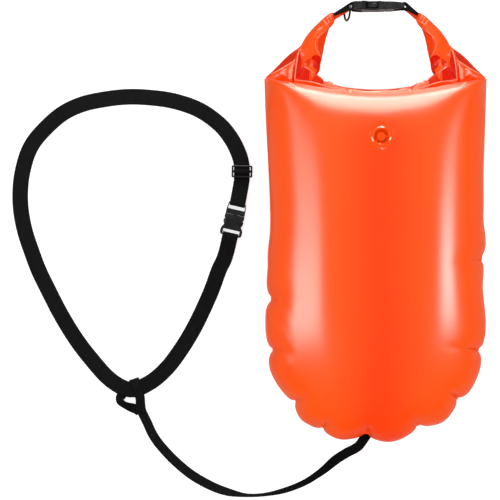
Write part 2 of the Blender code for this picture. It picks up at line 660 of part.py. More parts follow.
def webbing_slot(name, target, slot, bar_end, webbing, where):
    """Cut the slot, and thin the bar beside it so the webbing wraps it inside the buckle's thickness."""
    low, high = (s * webbing for s in slot)
    wide = 2 * SLOT_HALF_WIDTH_SHARE * webbing
    tall = BUCKLE_THICKNESS_SHARE * webbing + OVERRUN
    cut(target, box(f"{name}_slot", (wide, high - low, tall), (0, (low + high) / 2, 0), where))
    bar = BAR_THICKNESS_SHARE * webbing
    inner = low if bar_end > high else high
    reach = (inner + bar_end) / 2 + math.copysign(OVERRUN / 2, bar_end - inner)
    long = abs(bar_end - inner) + OVERRUN
    for up in (-1, 1):
        centre = (0, reach, up * (bar / 2 + tall / 2))
        cut(target, box(f"{name}_relief_{up + 1}", (wide, long, tall), centre, where))


def buckle(prefix, webbing, where):
    """Socket, plug and two spring prongs of a side release buckle."""
    thick = BUCKLE_THICKNESS_SHARE * webbing
    edge = thick / 8
    socket = rounded_plate(f"{prefix}_buckle_socket", scaled(SOCKET_OUTLINE_SHARES, webbing), thick, where, edge)
    cut(socket, side_cutter(f"{prefix}_socket_side", SOCKET_SIDE_SHARES, webbing, where), "INTERSECT")
    tall = CAVITY_SHARES["height"] * webbing
    low = CAVITY_SHARES["bottom"] * webbing
    high = SOCKET_LENGTH_SHARE * webbing + OVERRUN
    wide = 2 * CAVITY_SHARES["half_width"] * webbing
    cut(socket, box(f"{prefix}_cavity", (wide, high - low, tall), (0, (low + high) / 2, 0), where))
    low, high = WINDOW_SHARES["bottom"] * webbing, WINDOW_SHARES["top"] * webbing
    inner = WINDOW_SHARES["inner"] * webbing
    for side in (-1, 1):
        centre = (side * (inner + webbing / 2), (low + high) / 2, 0)
        cut(socket, box(f"{prefix}_window_{side + 1}", (webbing, high - low, tall), centre, where))
    webbing_slot(f"{prefix}_socket", socket, SOCKET_SLOT_SHARES, 0, webbing, where)

    plug = rounded_plate(f"{prefix}_buckle_plug", scaled(PLUG_OUTLINE_SHARES, webbing), thick, where, edge)
    cut(plug, side_cutter(f"{prefix}_plug_side", PLUG_SIDE_SHARES, webbing, where), "INTERSECT")
    webbing_slot(f"{prefix}_plug", plug, PLUG_SLOT_SHARES, BUCKLE_LENGTH_SHARE * webbing, webbing, where)
    tip = TONGUE_SHARES["tip"] * webbing
    root = PLUG_OUTLINE_SHARES[1][1] * webbing
    size = (2 * TONGUE_SHARES["half_width"] * webbing, root - tip, TONGUE_SHARES["thickness"] * webbing)
    cut(plug, box(f"{prefix}_tongue", size, (0, (root + tip) / 2, 0), where), "UNION")

    for label, side in (("left", -1), ("right", 1)):
        points = [Vector((side * x, y, 0)) for x, y in scaled(PRONG_OUTLINE_SHARES, webbing)]
        plate_from(f"{prefix}_prong_{label}", points, PRONG_THICKNESS_SHARE * webbing, where, edge / 3)
        pivot = where @ Vector((side * PRONG_PIVOT_SHARES[0] * webbing, PRONG_PIVOT_SHARES[1] * webbing, 0))
        axis = where.to_3x3() @ Vector((0, 0, -side))
        print(f"{prefix} prong {label}: pivot {pivot[:]}, squeeze axis {axis[:]}")
    print(f"{prefix} release: axis {(where.to_3x3() @ Vector((0, 1, 0)))[:]}, travel {RELEASE_SHARE * webbing}")


def bar_centre(slot, bar_end, webbing):
    """Where a webbing bar's middle lies along its buckle."""
    near = slot[1] if bar_end > slot[1] else slot[0]
    return (near + bar_end) / 2 * webbing


def wrap_radius(webbing):
    """How far the middle of the webbing runs from a bar's middle, clear of the bar's corners."""
    corner = math.hypot(BAR_THICKNESS_SHARE, SOCKET_SLOT_SHARES[0]) * webbing / 2
    return (corner + CLEARANCE + WEBBING_THICKNESS / 2) / math.cos(WRAP_STEP / 2)


# Build the bag
front = chamber("front_chamber", 1, FRONT_FLAT_SHARE)
back = chamber("back_chamber", -1, BACK_FLAT_SHARE)
front_film = liner_film("front_liner_film", 1)
back_film = liner_film("back_liner_film", -1)
valve("front", 1, front)
valve("back", -1, back)

# Build the collar
SPLIT = (ARM_STATIONS - 1) * COLLAR_STEPS
LAST = len(COLLAR_PLACES) - 1
collar_piece("left_collar_arm", 0, SPLIT)
collar_piece("collar_roll", SPLIT, LAST - SPLIT)
collar_piece("right_collar_arm", LAST - SPLIT, LAST)
strap("stiffener_strip", COLLAR_PLACES, [Vector((0, 0, 1))] * len(COLLAR_PLACES), STIFFENER_WIDTH,
      STIFFENER_THICKNESS, 1, STIFFENER_WHITE)
neck_fold("left_neck_fold", -1)
neck_fold("right_neck_fold", 1)

# Build the handle buckle: its width lies along Z and its length along X
handle_axes = Matrix(((0, 1, 0), (0, 0, 1), (1, 0, 0))).to_4x4()
HANDLE_FRAME = Matrix.Translation(HANDLE_CENTRE) @ handle_axes
buckle("handle", HANDLE_WEBBING, HANDLE_FRAME)


def handle_tab(name, side):
    """Webbing from an arm's tip round its buckle bar and back."""
    slot, end = ((SOCKET_SLOT_SHARES, 0.0) if side < 0 else (PLUG_SLOT_SHARES, BUCKLE_LENGTH_SHARE))
    bar = HANDLE_CENTRE + Vector((bar_centre(slot, end, HANDLE_WEBBING), 0, 0))
    tip = COLLAR_PLACES[0 if side < 0 else -1]
    ahead = (bar - tip).normalized()
    spread = Vector((-ahead.y, ahead.x, 0)) * -side
    radius = wrap_radius(HANDLE_WEBBING)
    arm_ahead = ahead_at(COLLAR_PLACES, 0) if side < 0 else -ahead_at(COLLAR_PLACES, LAST)
    start = tip - arm_ahead * (WEBBING_THICKNESS * 3 / 4)
    pinch = WEBBING_THICKNESS / 2 + LEAF
    turn = [
        bar + Vector((-side * math.cos(a) * radius, math.sin(a) * radius, 0))
        for a in (math.pi / 2 - WRAP_STEP * k for k in range(6))
    ]
    back_off = Vector((side * HANDLE_WEBBING * BAR_THICKNESS_SHARE, 0, 0))
    outer, inner = start + spread * pinch, start - spread * pinch
    upper, lower = turn[0] + back_off, turn[-1] + back_off
    route = [outer, outer.lerp(upper, 1 / 2), upper, *turn, lower, inner.lerp(lower, 1 / 2), inner]
    strap(name, route, [Vector((0, 0, 1))] * len(route), HANDLE_WEBBING, WEBBING_THICKNESS, 2, WEBBING_BLACK)
    return ((upper + lower) / 2).lerp(start, RING_PLACE_SHARE), ahead


ring_place, left_ahead = handle_tab("left_tab_webbing", -1)
handle_tab("right_tab_webbing", 1)


def accessory_ring():
    """A D ring whose straight side lies between the two layers of the left tab."""
    centre = ring_place
    lengthwise = Vector((0, 0, 1)) * math.cos(RING_TILT) + left_ahead * math.sin(RING_TILT)
    hang = Vector((0, -1, 0))
    hang = (hang - lengthwise * hang.dot(lengthwise)).normalized()
    half = (RING_INNER_WIDTH + RING_WIRE) / 2
    points = [centre - lengthwise * half, centre + lengthwise * half]
    sweep = 8
    for i in range(sweep + 1):
        turn = math.pi * i / sweep
        drop = RING_DROP * math.sin(turn) ** RING_SQUARENESS if 0 < i < sweep else RING_WIRE
        points.append(centre + lengthwise * (half * math.cos(turn)) + hang * drop)
    curve = bpy.data.curves.new("accessory_ring", "CURVE")
    curve.dimensions = "3D"
    curve.bevel_depth = RING_WIRE / 2
    curve.bevel_resolution = 2
    spline = curve.splines.new("POLY")
    spline.points.add(len(points) - 1)
    for knot, point in zip(spline.points, points):
        knot.co = (*point, 1)
    spline.use_cyclic_u = True
    made = bpy.data.objects.new("accessory_ring", curve)
    curve.materials.append(PLASTIC_BLACK)
    parts.objects.link(made)
    print(f"ring: pivot {centre[:]}, axis {lengthwise[:]}")


accessory_ring()

# Build the waist buckle and its webbing
WAIST_FRAME = (Matrix.Translation((*WAIST_SOCKET, WAIST_HEIGHT)) @ Matrix.Rotation(WAIST_TURN, 4, "Z"))
buckle("waist", BELT_WIDTH, WAIST_FRAME)


def wrapped(bar, outward, top, bottom):
    """A route over a bar, round its inner side and back under it; outward points away from the buckle."""
    radius = wrap_radius(BELT_WIDTH)
    turn = [
        bar - outward * (math.cos(a) * radius) + Vector((0, 0, math.sin(a) * radius))
        for a in (math.pi / 2 - WRAP_STEP * k for k in range(6))
    ]
    return [*top, *turn, *bottom]


socket_bar = WAIST_FRAME @ Vector((0, bar_centre(SOCKET_SLOT_SHARES, 0.0, BELT_WIDTH), 0))
plug_bar = WAIST_FRAME @ Vector((0, bar_centre(PLUG_SLOT_SHARES, BUCKLE_LENGTH_SHARE, BELT_WIDTH), 0))
outward = -(WAIST_FRAME.to_3x3() @ Vector((0, 1, 0)))
belt = [Vector(p) for p in BELT_ROUTE]
under, over = LAYER_HEIGHTS
belt_start = belt[0] + (belt[0] - belt[1]).normalized() * CLEARANCE * 2
sewn_far = [Vector((p.x, p.y, under)) for p in (belt[1], belt[2])]
sewn = wrapped(socket_bar, outward, [belt_start], sewn_far)
strap("belt_sewn_end", sewn, [WAIST_FRAME.to_3x3() @ Vector((1, 0, 0))] * len(sewn), BELT_WIDTH,
      WEBBING_THICKNESS, 2, WEBBING_BLACK)
strap("belt_webbing", belt, level_sides(belt), BELT_WIDTH, WEBBING_THICKNESS, BELT_STEPS, WEBBING_BLACK)
adjust = [Vector((*p, 0)) for p in ADJUST_ROUTE]
top_run = [Vector((p.x, p.y, over)) for p in adjust[3::-1]]
bottom_run = [Vector((p.x, p.y, under)) for p in adjust]
fold = wrapped(plug_bar, -outward, top_run, bottom_run)
level = Vector((1, 0, 0))
fold_sides = [level] * len(top_run) + [WAIST_FRAME.to_3x3() @ level] * 6 + [level] * len(bottom_run)
strap("belt_adjust_fold", fold, fold_sides, BELT_WIDTH, WEBBING_THICKNESS, 2, WEBBING_BLACK)


def slider():
    """A three bar slider: two side bars over the webbing and a lower middle bar under its upper layer."""
    where = Matrix.Translation((*SLIDER_PLACE, 0)) @ Matrix.Rotation(SLIDER_TURN, 4, "Z")
    low = over + WEBBING_THICKNESS / 2 + CLEARANCE
    bar_low = under + WEBBING_THICKNESS / 2 + CLEARANCE
    bar_high = over + WEBBING_THICKNESS / 2 + CLEARANCE * 2
    half = (SLIDER_WIDTH / 2, SLIDER_LENGTH / 2)
    round_off = SLIDER_RAIL / 2
    corners = [(half[0] - round_off, -half[1]), (half[0], -half[1] + round_off),
               (half[0], half[1] - round_off), (half[0] - round_off, half[1])]
    tall = low + SLIDER_PLATE - bar_low
    plate = rounded_plate("belt_slider", corners, tall,
                          where @ Matrix.Translation((0, 0, bar_low + tall / 2)), SLIDER_PLATE / 5)
    inner = BELT_WIDTH / 2 + CLEARANCE * 4
    window = box("slider_window", (2 * inner, SLIDER_LENGTH - 2 * SLIDER_RAIL, tall * 2),
                 (0, 0, bar_low + tall / 2), where)
    cut(plate, window)
    passage = box("slider_passage", (2 * inner, SLIDER_LENGTH + OVERRUN, tall), (0, 0, low - tall / 2), where)
    cut(plate, passage)
    bar = box("slider_bar", (2 * inner + SLIDER_RAIL, SLIDER_BAR, bar_high - bar_low),
              (0, 0, (bar_low + bar_high) / 2), where)
    cut(plate, bar, "UNION")
    print(f"slider: axis {(where.to_3x3() @ Vector((0, 1, 0)))[:]}")


slider()

# Build the leash


def twisted_sides(route, twists, turn_over=None):
    """Level sides turned about the route by the twists; past a turn-over the other face is up."""
    sides = []
    for i, level_side in enumerate(level_sides(route)):
        if turn_over and turn_over[0] <= i < turn_over[1]:
            level_side = sides[turn_over[0] - 1]
        elif turn_over and i >= turn_over[1]:
            level_side = -level_side
        ahead = route[min(i + 1, len(route) - 1)] - route[max(i - 1, 0)]
        sides.append(Matrix.Rotation(math.radians(twists[i]), 3, ahead) @ level_side)
    return sides


leash = [Vector(p) for p in LEASH_ROUTE]
loop = [Vector(p) for p in LOOP_ROUTE]
strap("leash_webbing", leash, twisted_sides(leash, LEASH_TWIST), LEASH_WIDTH, WEBBING_THICKNESS, LEASH_STEPS,
      WEBBING_BLACK)
strap("leash_loop", loop, twisted_sides(loop, LOOP_TWIST, LOOP_TURN_OVER), LEASH_WIDTH, WEBBING_THICKNESS,
      LEASH_STEPS, WEBBING_BLACK)
inward = (leash[0] - leash[1]).normalized()
tab_end = leash[0] + inward * CLEARANCE * 2
tab_start = tab_end + inward * LEASH_TAB_LENGTH
level = level_sides([tab_start, tab_end])
strap("leash_sewn_end", [tab_start, tab_end], level, LEASH_WIDTH, WEBBING_THICKNESS, 1, WEBBING_BLACK)
pocket_ends = [tab_start + inward * CLEARANCE, tab_end - inward * OVERRUN]
for welded in (front, back, front_film, back_film):
    pocket = strap(f"{welded.name}_pocket", pocket_ends, level, LEASH_WIDTH + 2 * CLEARANCE,
                   WEBBING_THICKNESS + 2 * CLEARANCE, 1, None)
    cut(welded, pocket)
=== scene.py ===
# %% [markdown]
# # An open water swim buoy
#
# A swim buoy is a dry bag between two air chambers. The swimmer clips its belt round the waist and
# tows it on a short leash. Its mouth is rolled up and the ends of the roll are clipped together as
# a handle. This lesson dresses a plain CAD model of one: glossy welded film, matt black webbing and
# moulded buckles, laid out on a white studio floor and seen from straight above.
#
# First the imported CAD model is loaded. It stays where it is, and everything new is fitted to it.

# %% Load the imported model
import math

import bmesh
import bpy
import numpy as np
from mathutils import Matrix, Vector
from mathutils.bvhtree import BVHTree
from mathutils.geometry import delaunay_2d_cdt


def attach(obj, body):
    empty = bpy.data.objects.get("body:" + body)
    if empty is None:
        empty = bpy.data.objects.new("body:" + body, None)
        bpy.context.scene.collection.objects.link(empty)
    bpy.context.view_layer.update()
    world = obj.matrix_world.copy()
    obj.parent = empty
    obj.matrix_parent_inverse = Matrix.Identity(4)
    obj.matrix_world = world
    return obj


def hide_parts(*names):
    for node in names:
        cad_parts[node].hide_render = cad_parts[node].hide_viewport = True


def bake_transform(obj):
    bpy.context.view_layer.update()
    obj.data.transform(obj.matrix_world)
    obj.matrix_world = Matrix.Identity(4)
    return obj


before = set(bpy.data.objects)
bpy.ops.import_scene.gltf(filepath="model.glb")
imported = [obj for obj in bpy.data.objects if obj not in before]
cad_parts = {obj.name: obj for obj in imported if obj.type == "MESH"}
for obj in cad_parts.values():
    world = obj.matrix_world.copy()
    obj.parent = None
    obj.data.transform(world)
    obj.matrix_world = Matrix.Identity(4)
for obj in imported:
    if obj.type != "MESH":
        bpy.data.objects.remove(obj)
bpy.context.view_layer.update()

# %% [markdown]
# ## The camera
#
# A product picture of a flat layout is taken from straight above with a long lens, so that
# nothing leans. The eye is four metres over the seam of the bag.

# %% Camera
EYE = (-0.1945, -0.0442, 4.085)
LENS = 185.8
SENSOR = 36.0

camera_lens = bpy.data.cameras.new("camera")
camera_lens.lens = LENS
camera_lens.sensor_width = SENSOR
camera = bpy.data.objects.new("camera", camera_lens)
camera.location = EYE
bpy.context.scene.collection.objects.link(camera)
bpy.context.scene.camera = camera
print("field of view", round(math.degrees(camera_lens.angle), 2), "degrees")

# %% [markdown]
# ## Helpers: smooth lines and skins
#
# Straps, seams and folds follow lines drawn through a few chosen points. The smooth line passes
# through each of them, and its direction at a point is read from the two points beside it.


# %% A smooth line through points
def unit(vector):
    return vector / np.linalg.norm(vector)


def ahead_at(run, i):
    """The direction of a line at its point i, of no fixed length."""
    return run[min(i + 1, len(run) - 1)] - run[max(i - 1, 0)]


def hermite(start, end, leave, arrive, t):
    return (start * (2 * t**3 - 3 * t**2 + 1) + leave * (t**3 - 2 * t**2 + t)
            + end * (-2 * t**3 + 3 * t**2) + arrive * (t**3 - t**2))


def smooth_run(points, steps):
    """An open smooth line through points, with so many steps between two of them."""
    points = np.array(points, float)
    last = len(points) - 1
    run = []
    for i in range(last):
        start, end = points[i], points[i + 1]
        leave = (end - points[i - 1]) / 2 if i else end - start
        arrive = (points[i + 2] - start) / 2 if i + 1 < last else end - start
        run += [hermite(start, end, leave, arrive, s / steps) for s in range(steps)]
    return np.array(run + [points[last]])


def run_length(run):
    return float(np.linalg.norm(np.diff(run, axis=0), axis=1).sum())


# %% [markdown]
# Most soft pieces are one skin over a row of rings. A grid is made with as many cells as the skin
# needs, its rows are laid on the rings, and the first and last columns are merged into a tube.

# %% A skin over rings
WELD = 1e-6


def skin_over(rings, lay=None, capped=True):
    """A tube over rings; lay gives each point its place along and across the piece."""
    rings = np.asarray(rings, float)
    rows, columns = rings.shape[:2]
    bm = bmesh.new()
    bmesh.ops.create_grid(bm, x_segments=columns, y_segments=rows - 1, size=1)
    bm.verts.ensure_lookup_table()
    marks = bm.verts.layers.float_vector.new("lay") if lay is not None else None
    for row in range(rows):
        for column in range(columns + 1):
            vert = bm.verts[row * (columns + 1) + column]
            vert.co = rings[row, column % columns]
            if marks:
                vert[marks] = lay[row][column % columns]
    bmesh.ops.remove_doubles(bm, verts=bm.verts, dist=WELD)
    if capped:
        bmesh.ops.holes_fill(bm, edges=[e for e in bm.edges if e.is_boundary], sides=0)
    bmesh.ops.recalc_face_normals(bm, faces=bm.faces)
    return bm


# %% [markdown]
# A finished bmesh becomes an object at the origin, with its finish. A
# piece can also carry marks, which are numbers on its points or faces that a finish reads.


# %% From a bmesh to a piece
# Edges that turn by more degrees than this stay hard: on thin pieces, the roll and the chambers
THIN_HARD = 60
ROLL_HARD = 70
CHAMBER_HARD = 50


def placed(bm, name):
    """A bmesh as an object in the scene."""
    mesh = bpy.data.meshes.new(name)
    bm.to_mesh(mesh)
    bm.free()
    made = bpy.data.objects.new(name, mesh)
    bpy.context.scene.collection.objects.link(made)
    return made


def piece_from(bm, name, finish, sharp=None):
    """A bmesh as a smooth shaded piece; edges past the sharp angle stay hard."""
    made = placed(bm, name)
    made.data.shade_smooth()
    if sharp is not None:
        made.data.set_sharp_from_angle(angle=math.radians(sharp))
    made.data.materials.append(finish)
    return made


def mark(piece, label, values, domain="POINT"):
    piece.data.attributes.new(label, "FLOAT", domain).data.foreach_set("value", values)


# %% [markdown]
# ## Finishes
#
# Three kinds of finish cover the buoy: welded film in four tints, woven webbing and moulded black
# plastic. Each is one shader with a few nodes in front of it, and these helpers lay the nodes out.
# Patterns read the piece's own coordinates, or a mark where they follow the piece.

# %% Building materials
COLOUR = "NodeSocketColor"
NUMBER = "NodeSocketFloat"


def new_group(name, takes, gives):
    """An empty node group with named inputs and outputs, and its two ends."""
    group = bpy.data.node_groups.new(name, "ShaderNodeTree")
    for in_out, sockets in (("INPUT", takes), ("OUTPUT", gives)):
        for label, kind in sockets.items():
            group.interface.new_socket(name=label, in_out=in_out, socket_type=kind)
    return group, group.nodes.new("NodeGroupInput").outputs, group.nodes.new("NodeGroupOutput").inputs


def new_finish(name, values):
    """A material, its nodes and its shader, with plain values set by name."""
    made = bpy.data.materials.new(name)
    made.use_nodes = True
    shader = made.node_tree.nodes["Principled BSDF"]
    for label, value in values.items():
        shader.inputs[label].default_value = value
    return made, made.node_tree, shader


def noise(tree, scale, detail=2.0, distortion=0.0):
    """Cloudy noise on the piece's own coordinates."""
    node = tree.nodes.new("ShaderNodeTexNoise")
    node.inputs["Scale"].default_value = scale
    node.inputs["Detail"].default_value = detail
    node.inputs["Distortion"].default_value = distortion
    place = tree.nodes.new("ShaderNodeTexCoord")
    tree.links.new(place.outputs["Object"], node.inputs["Vector"])
    return node


def mark_of(tree, label, output="Fac"):
    node = tree.nodes.new("ShaderNodeAttribute")
    node.attribute_name = label
    return node.outputs[output]


def maths(tree, operation, a, b=None, clamp=False):
    """A Math node; a and b are sockets or numbers."""
    node = tree.nodes.new("ShaderNodeMath")
    node.operation = operation
    node.use_clamp = clamp
    for socket, value in zip(node.inputs, (a, b)):
        if isinstance(value, bpy.types.NodeSocket):
            tree.links.new(value, socket)
        elif value is not None:
            socket.default_value = value
    return node.outputs[0]


def mixed(tree, share, a, b):
    """A colour mix; a and b are colours or sockets."""
    node = tree.nodes.new("ShaderNodeMix")
    node.data_type = "RGBA"
    tree.links.new(share, node.inputs["Factor"])
    for socket, value in ((node.inputs[6], a), (node.inputs[7], b)):
        if isinstance(value, bpy.types.NodeSocket):
            tree.links.new(value, socket)
        else:
            socket.default_value = (*value, 1)
    return node.outputs[2]


def lift_surface(tree, shader, height, strength, distance):
    """Shade the surface as if it rose by a height."""
    node = tree.nodes.new("ShaderNodeBump")
    node.inputs["Strength"].default_value = strength
    node.inputs["Distance"].default_value = distance
    tree.links.new(height, node.inputs["Height"])
    tree.links.new(node.outputs["Normal"], shader.inputs["Normal"])


# %% [markdown]
# The film is vinyl: one colour, slightly cloudy, with a very fine pebble and long soft ripples
# where it is stretched. Where layers lie over one another it is deeper and duller, and shade is painted
# the same way into hollows. Light is painted on as pale highlights that may glow. Marks say where.

# %% Film surface group
CLOUD_SCALE = 7.0
CLOUD_FROM = 0.45
CLOUD_SHARE = 0.5
RIPPLE_SWIRL = 0.4
PEBBLE_SCALE = 900.0
PEBBLE_HEIGHT = 0.03
PEBBLE_SCATTER = 0.12
# How much of the coat's shine is lost where the film is deepest, in layered film and painted shade
DEEP_DULLS = 0.75

film_group, takes, gives = new_group(
    "film_surface",
    {"Colour": COLOUR, "Layered and shaded colour": COLOUR, "Painted light colour": COLOUR, "Layers and shade": NUMBER, "Painted light": NUMBER,
     "Ripples": NUMBER, "Roughness": NUMBER, "Coat": NUMBER},
    {"Color": COLOUR, "Light": COLOUR, "Roughness": NUMBER, "Coat": NUMBER, "Height": NUMBER})

cloud = noise(film_group, CLOUD_SCALE, 3.0).outputs["Fac"]
share = maths(film_group, "SUBTRACT", cloud, CLOUD_FROM, True)
share = maths(film_group, "MULTIPLY", share, CLOUD_SHARE, True)
# The layers and the painted shade deepen the colour on top of the cloud
share = maths(film_group, "ADD", share, takes["Layers and shade"], True)
tinted = mixed(film_group, share, takes["Colour"], takes["Layered and shaded colour"])
# Painted light paints the colour pale, and is also passed on as a painted glow
film_group.links.new(mixed(film_group, takes["Painted light"], tinted, takes["Painted light colour"]), gives["Color"])
film_group.links.new(mixed(film_group, takes["Painted light"], (0, 0, 0), takes["Painted light colour"]), gives["Light"])

ripple = noise(film_group, 1.0, 2.0, RIPPLE_SWIRL)
film_group.links.new(takes["Ripples"], ripple.inputs["Scale"])
pebble = noise(film_group, PEBBLE_SCALE).outputs["Fac"]
rise = maths(film_group, "ADD", ripple.outputs["Fac"], maths(film_group, "MULTIPLY", pebble, PEBBLE_HEIGHT))
film_group.links.new(rise, gives["Height"])

scatter = maths(film_group, "MULTIPLY", maths(film_group, "SUBTRACT", pebble, 0.5), PEBBLE_SCATTER)
film_group.links.new(maths(film_group, "ADD", takes["Roughness"], scatter), gives["Roughness"])
bare = maths(film_group, "SUBTRACT", 1.0, maths(film_group, "MULTIPLY", takes["Layers and shade"], DEEP_DULLS))
film_group.links.new(maths(film_group, "MULTIPLY", takes["Coat"], bare), gives["Coat"])
print("film surface group:", len(film_group.nodes), "nodes")

# %% [markdown]
# The four tints share that group. The chambers are the clearest orange. The folded neck is duller
# and redder in its depths, partly from layered film and partly as painted shade. The roll is painted
# a paler orange as painted light, and the valve is a harder, shinier moulding of the same vinyl.
# A little light scatters inside all of them.

# %% Film finishes
# The colour of painted highlights, and of the painted glow in shaded places
PAINTED_LIGHT_COLOUR = (1.0, 0.42, 0.28)
FILM_LIFT = 0.001
FILM_VALUES = {"Specular IOR Level": 0.03, "Subsurface Weight": 0.2, "Subsurface Radius": (1.0, 0.12, 0.03),
               "Subsurface Scale": 0.006}


def film_finish(name, colour, deep, roughness, ripples, bump, coat, coat_roughness=0.22, through=0.0):
    """Glossy vinyl film; through is the strength of a painted glow where the film carries painted light."""
    made, tree, shader = new_finish(name, FILM_VALUES)
    shader.inputs["Coat Roughness"].default_value = coat_roughness
    shader.inputs["Emission Strength"].default_value = through
    surface = tree.nodes.new("ShaderNodeGroup")
    surface.node_tree = film_group
    values = {"Colour": (*colour, 1), "Layered and shaded colour": (*deep, 1), "Painted light colour": (*PAINTED_LIGHT_COLOUR, 1),
              "Ripples": ripples, "Roughness": roughness, "Coat": coat}
    for label, value in values.items():
        surface.inputs[label].default_value = value
    tree.links.new(mark_of(tree, "deep"), surface.inputs["Layers and shade"])
    tree.links.new(mark_of(tree, "painted_light"), surface.inputs["Painted light"])
    tree.links.new(surface.outputs["Color"], shader.inputs["Base Color"])
    # The painted light glows as emission, so the film glows though it is no lamp
    tree.links.new(surface.outputs["Light"], shader.inputs["Emission Color"])
    tree.links.new(surface.outputs["Roughness"], shader.inputs["Roughness"])
    tree.links.new(surface.outputs["Coat"], shader.inputs["Coat Weight"])
    lift_surface(tree, shader, surface.outputs["Height"], bump, FILM_LIFT)
    print(name, "roughness", roughness, "coat", coat)
    return made


# Each deep colour is partly layered film and partly painted shade; the roll's paler colour and glow are
# painted light
film = film_finish("orange_film", (1.0, 0.088, 0.0005), (1.0, 0.032, 0.0), roughness=0.4,
                   ripples=26.0, bump=0.3, coat=0.34, coat_roughness=0.27, through=0.2)
fold_film = film_finish("orange_fold_film", (1.0, 0.088, 0.002), (0.64, 0.011, 0.0), roughness=0.4,
                        ripples=60.0, bump=0.4, coat=0.16)
roll_film_painted_light = film_finish("orange_roll_film", (1.0, 0.16, 0.06), (0.6, 0.03, 0.0), roughness=0.4,
                        ripples=60.0, bump=0.4, coat=0.25, through=0.15)
valve_vinyl = film_finish("orange_valve_plastic", (1.0, 0.075, 0.0), (1.0, 0.05, 0.0), roughness=0.2,
                          ripples=80.0, bump=0.1, coat=0.5, coat_roughness=0.16)

# %% [markdown]
# Webbing is woven. Its ribs run across the strap in two offset rows, which a sine along and a sine
# across draw well. The weave reads the mark "lay", the place along and across each strap, so it
# follows every bend.

# %% Webbing finish
RIB_PITCH = 0.0022
YARN_PITCH = 0.0016
FUZZ_SCALE = 1600.0
FUZZ_SHARE = 0.25
# The paler tone paints light on the yarn tops and the darker one paints shade in the hollows; the fuzz mixes
# them at random
YARN_DARK_PAINTED_SHADE = (0.0008, 0.0008, 0.0008)
YARN_PALE_PAINTED_LIGHT = (0.0028, 0.0028, 0.0030)

webbing_finish, tree, shader = new_finish("black_webbing", {"Roughness": 0.85, "Specular IOR Level": 0.04})
split = tree.nodes.new("ShaderNodeSeparateXYZ")
tree.links.new(mark_of(tree, "lay", "Vector"), split.inputs["Vector"])
yarns = maths(tree, "SINE", maths(tree, "MULTIPLY", split.outputs["Y"], 2 * math.pi / YARN_PITCH))
slant = maths(tree, "MULTIPLY", maths(tree, "SIGN", yarns), math.pi / 2)
ribs = maths(tree, "MULTIPLY", split.outputs["X"], 2 * math.pi / RIB_PITCH)
ribs = maths(tree, "SINE", maths(tree, "ADD", ribs, slant))
ribs = maths(tree, "ADD", maths(tree, "MULTIPLY", ribs, 0.5), 0.5)
weave = maths(tree, "MULTIPLY", maths(tree, "ABSOLUTE", yarns), ribs)
fuzz = maths(tree, "MULTIPLY", noise(tree, FUZZ_SCALE).outputs["Fac"], FUZZ_SHARE)
height = maths(tree, "ADD", weave, fuzz)
tree.links.new(mixed(tree, height, YARN_DARK_PAINTED_SHADE, YARN_PALE_PAINTED_LIGHT), shader.inputs["Base Color"])
lift_surface(tree, shader, height, strength=0.8, distance=0.0003)
print("webbing finish:", len(tree.nodes), "nodes")

# %% [markdown]
# The buckles are moulded acetal: black, a little glossy, with the faint grain of a steel mould
# and edges rubbed slightly paler.

# %% Moulded plastic finish
GRAIN_SCALE = 1400.0
SMUDGE_SCALE = 60.0
SMUDGE_SHARE = 0.2
LEAST_ROUGHNESS = 0.24
# Where an edge counts as rubbed, and how fast it gets there
EDGE_FROM = 0.52
EDGE_GAIN = 8.0
PLASTIC_BLACK = (0.0025, 0.0025, 0.003)
PLASTIC_RUBBED = (0.012, 0.012, 0.013)

moulded, tree, shader = new_finish("black_plastic", {"Specular IOR Level": 0.14})
pointed = tree.nodes.new("ShaderNodeNewGeometry").outputs["Pointiness"]
edges = maths(tree, "MULTIPLY", maths(tree, "SUBTRACT", pointed, EDGE_FROM, True), EDGE_GAIN, True)
tree.links.new(mixed(tree, edges, PLASTIC_BLACK, PLASTIC_RUBBED), shader.inputs["Base Color"])
smudge = maths(tree, "MULTIPLY", noise(tree, SMUDGE_SCALE).outputs["Fac"], SMUDGE_SHARE)
tree.links.new(maths(tree, "ADD", smudge, LEAST_ROUGHNESS), shader.inputs["Roughness"])
lift_surface(tree, shader, noise(tree, GRAIN_SCALE, 3.0).outputs["Fac"], strength=0.25, distance=0.0002)
print("moulded finish:", len(tree.nodes), "nodes")

# %% [markdown]
# ## Belt and leash
#
# Webbing is a flat cord. Each strap follows the route that the CAD model was given, point for
# point. The leash twists on its way, and its loop goes round the belt and back under it.

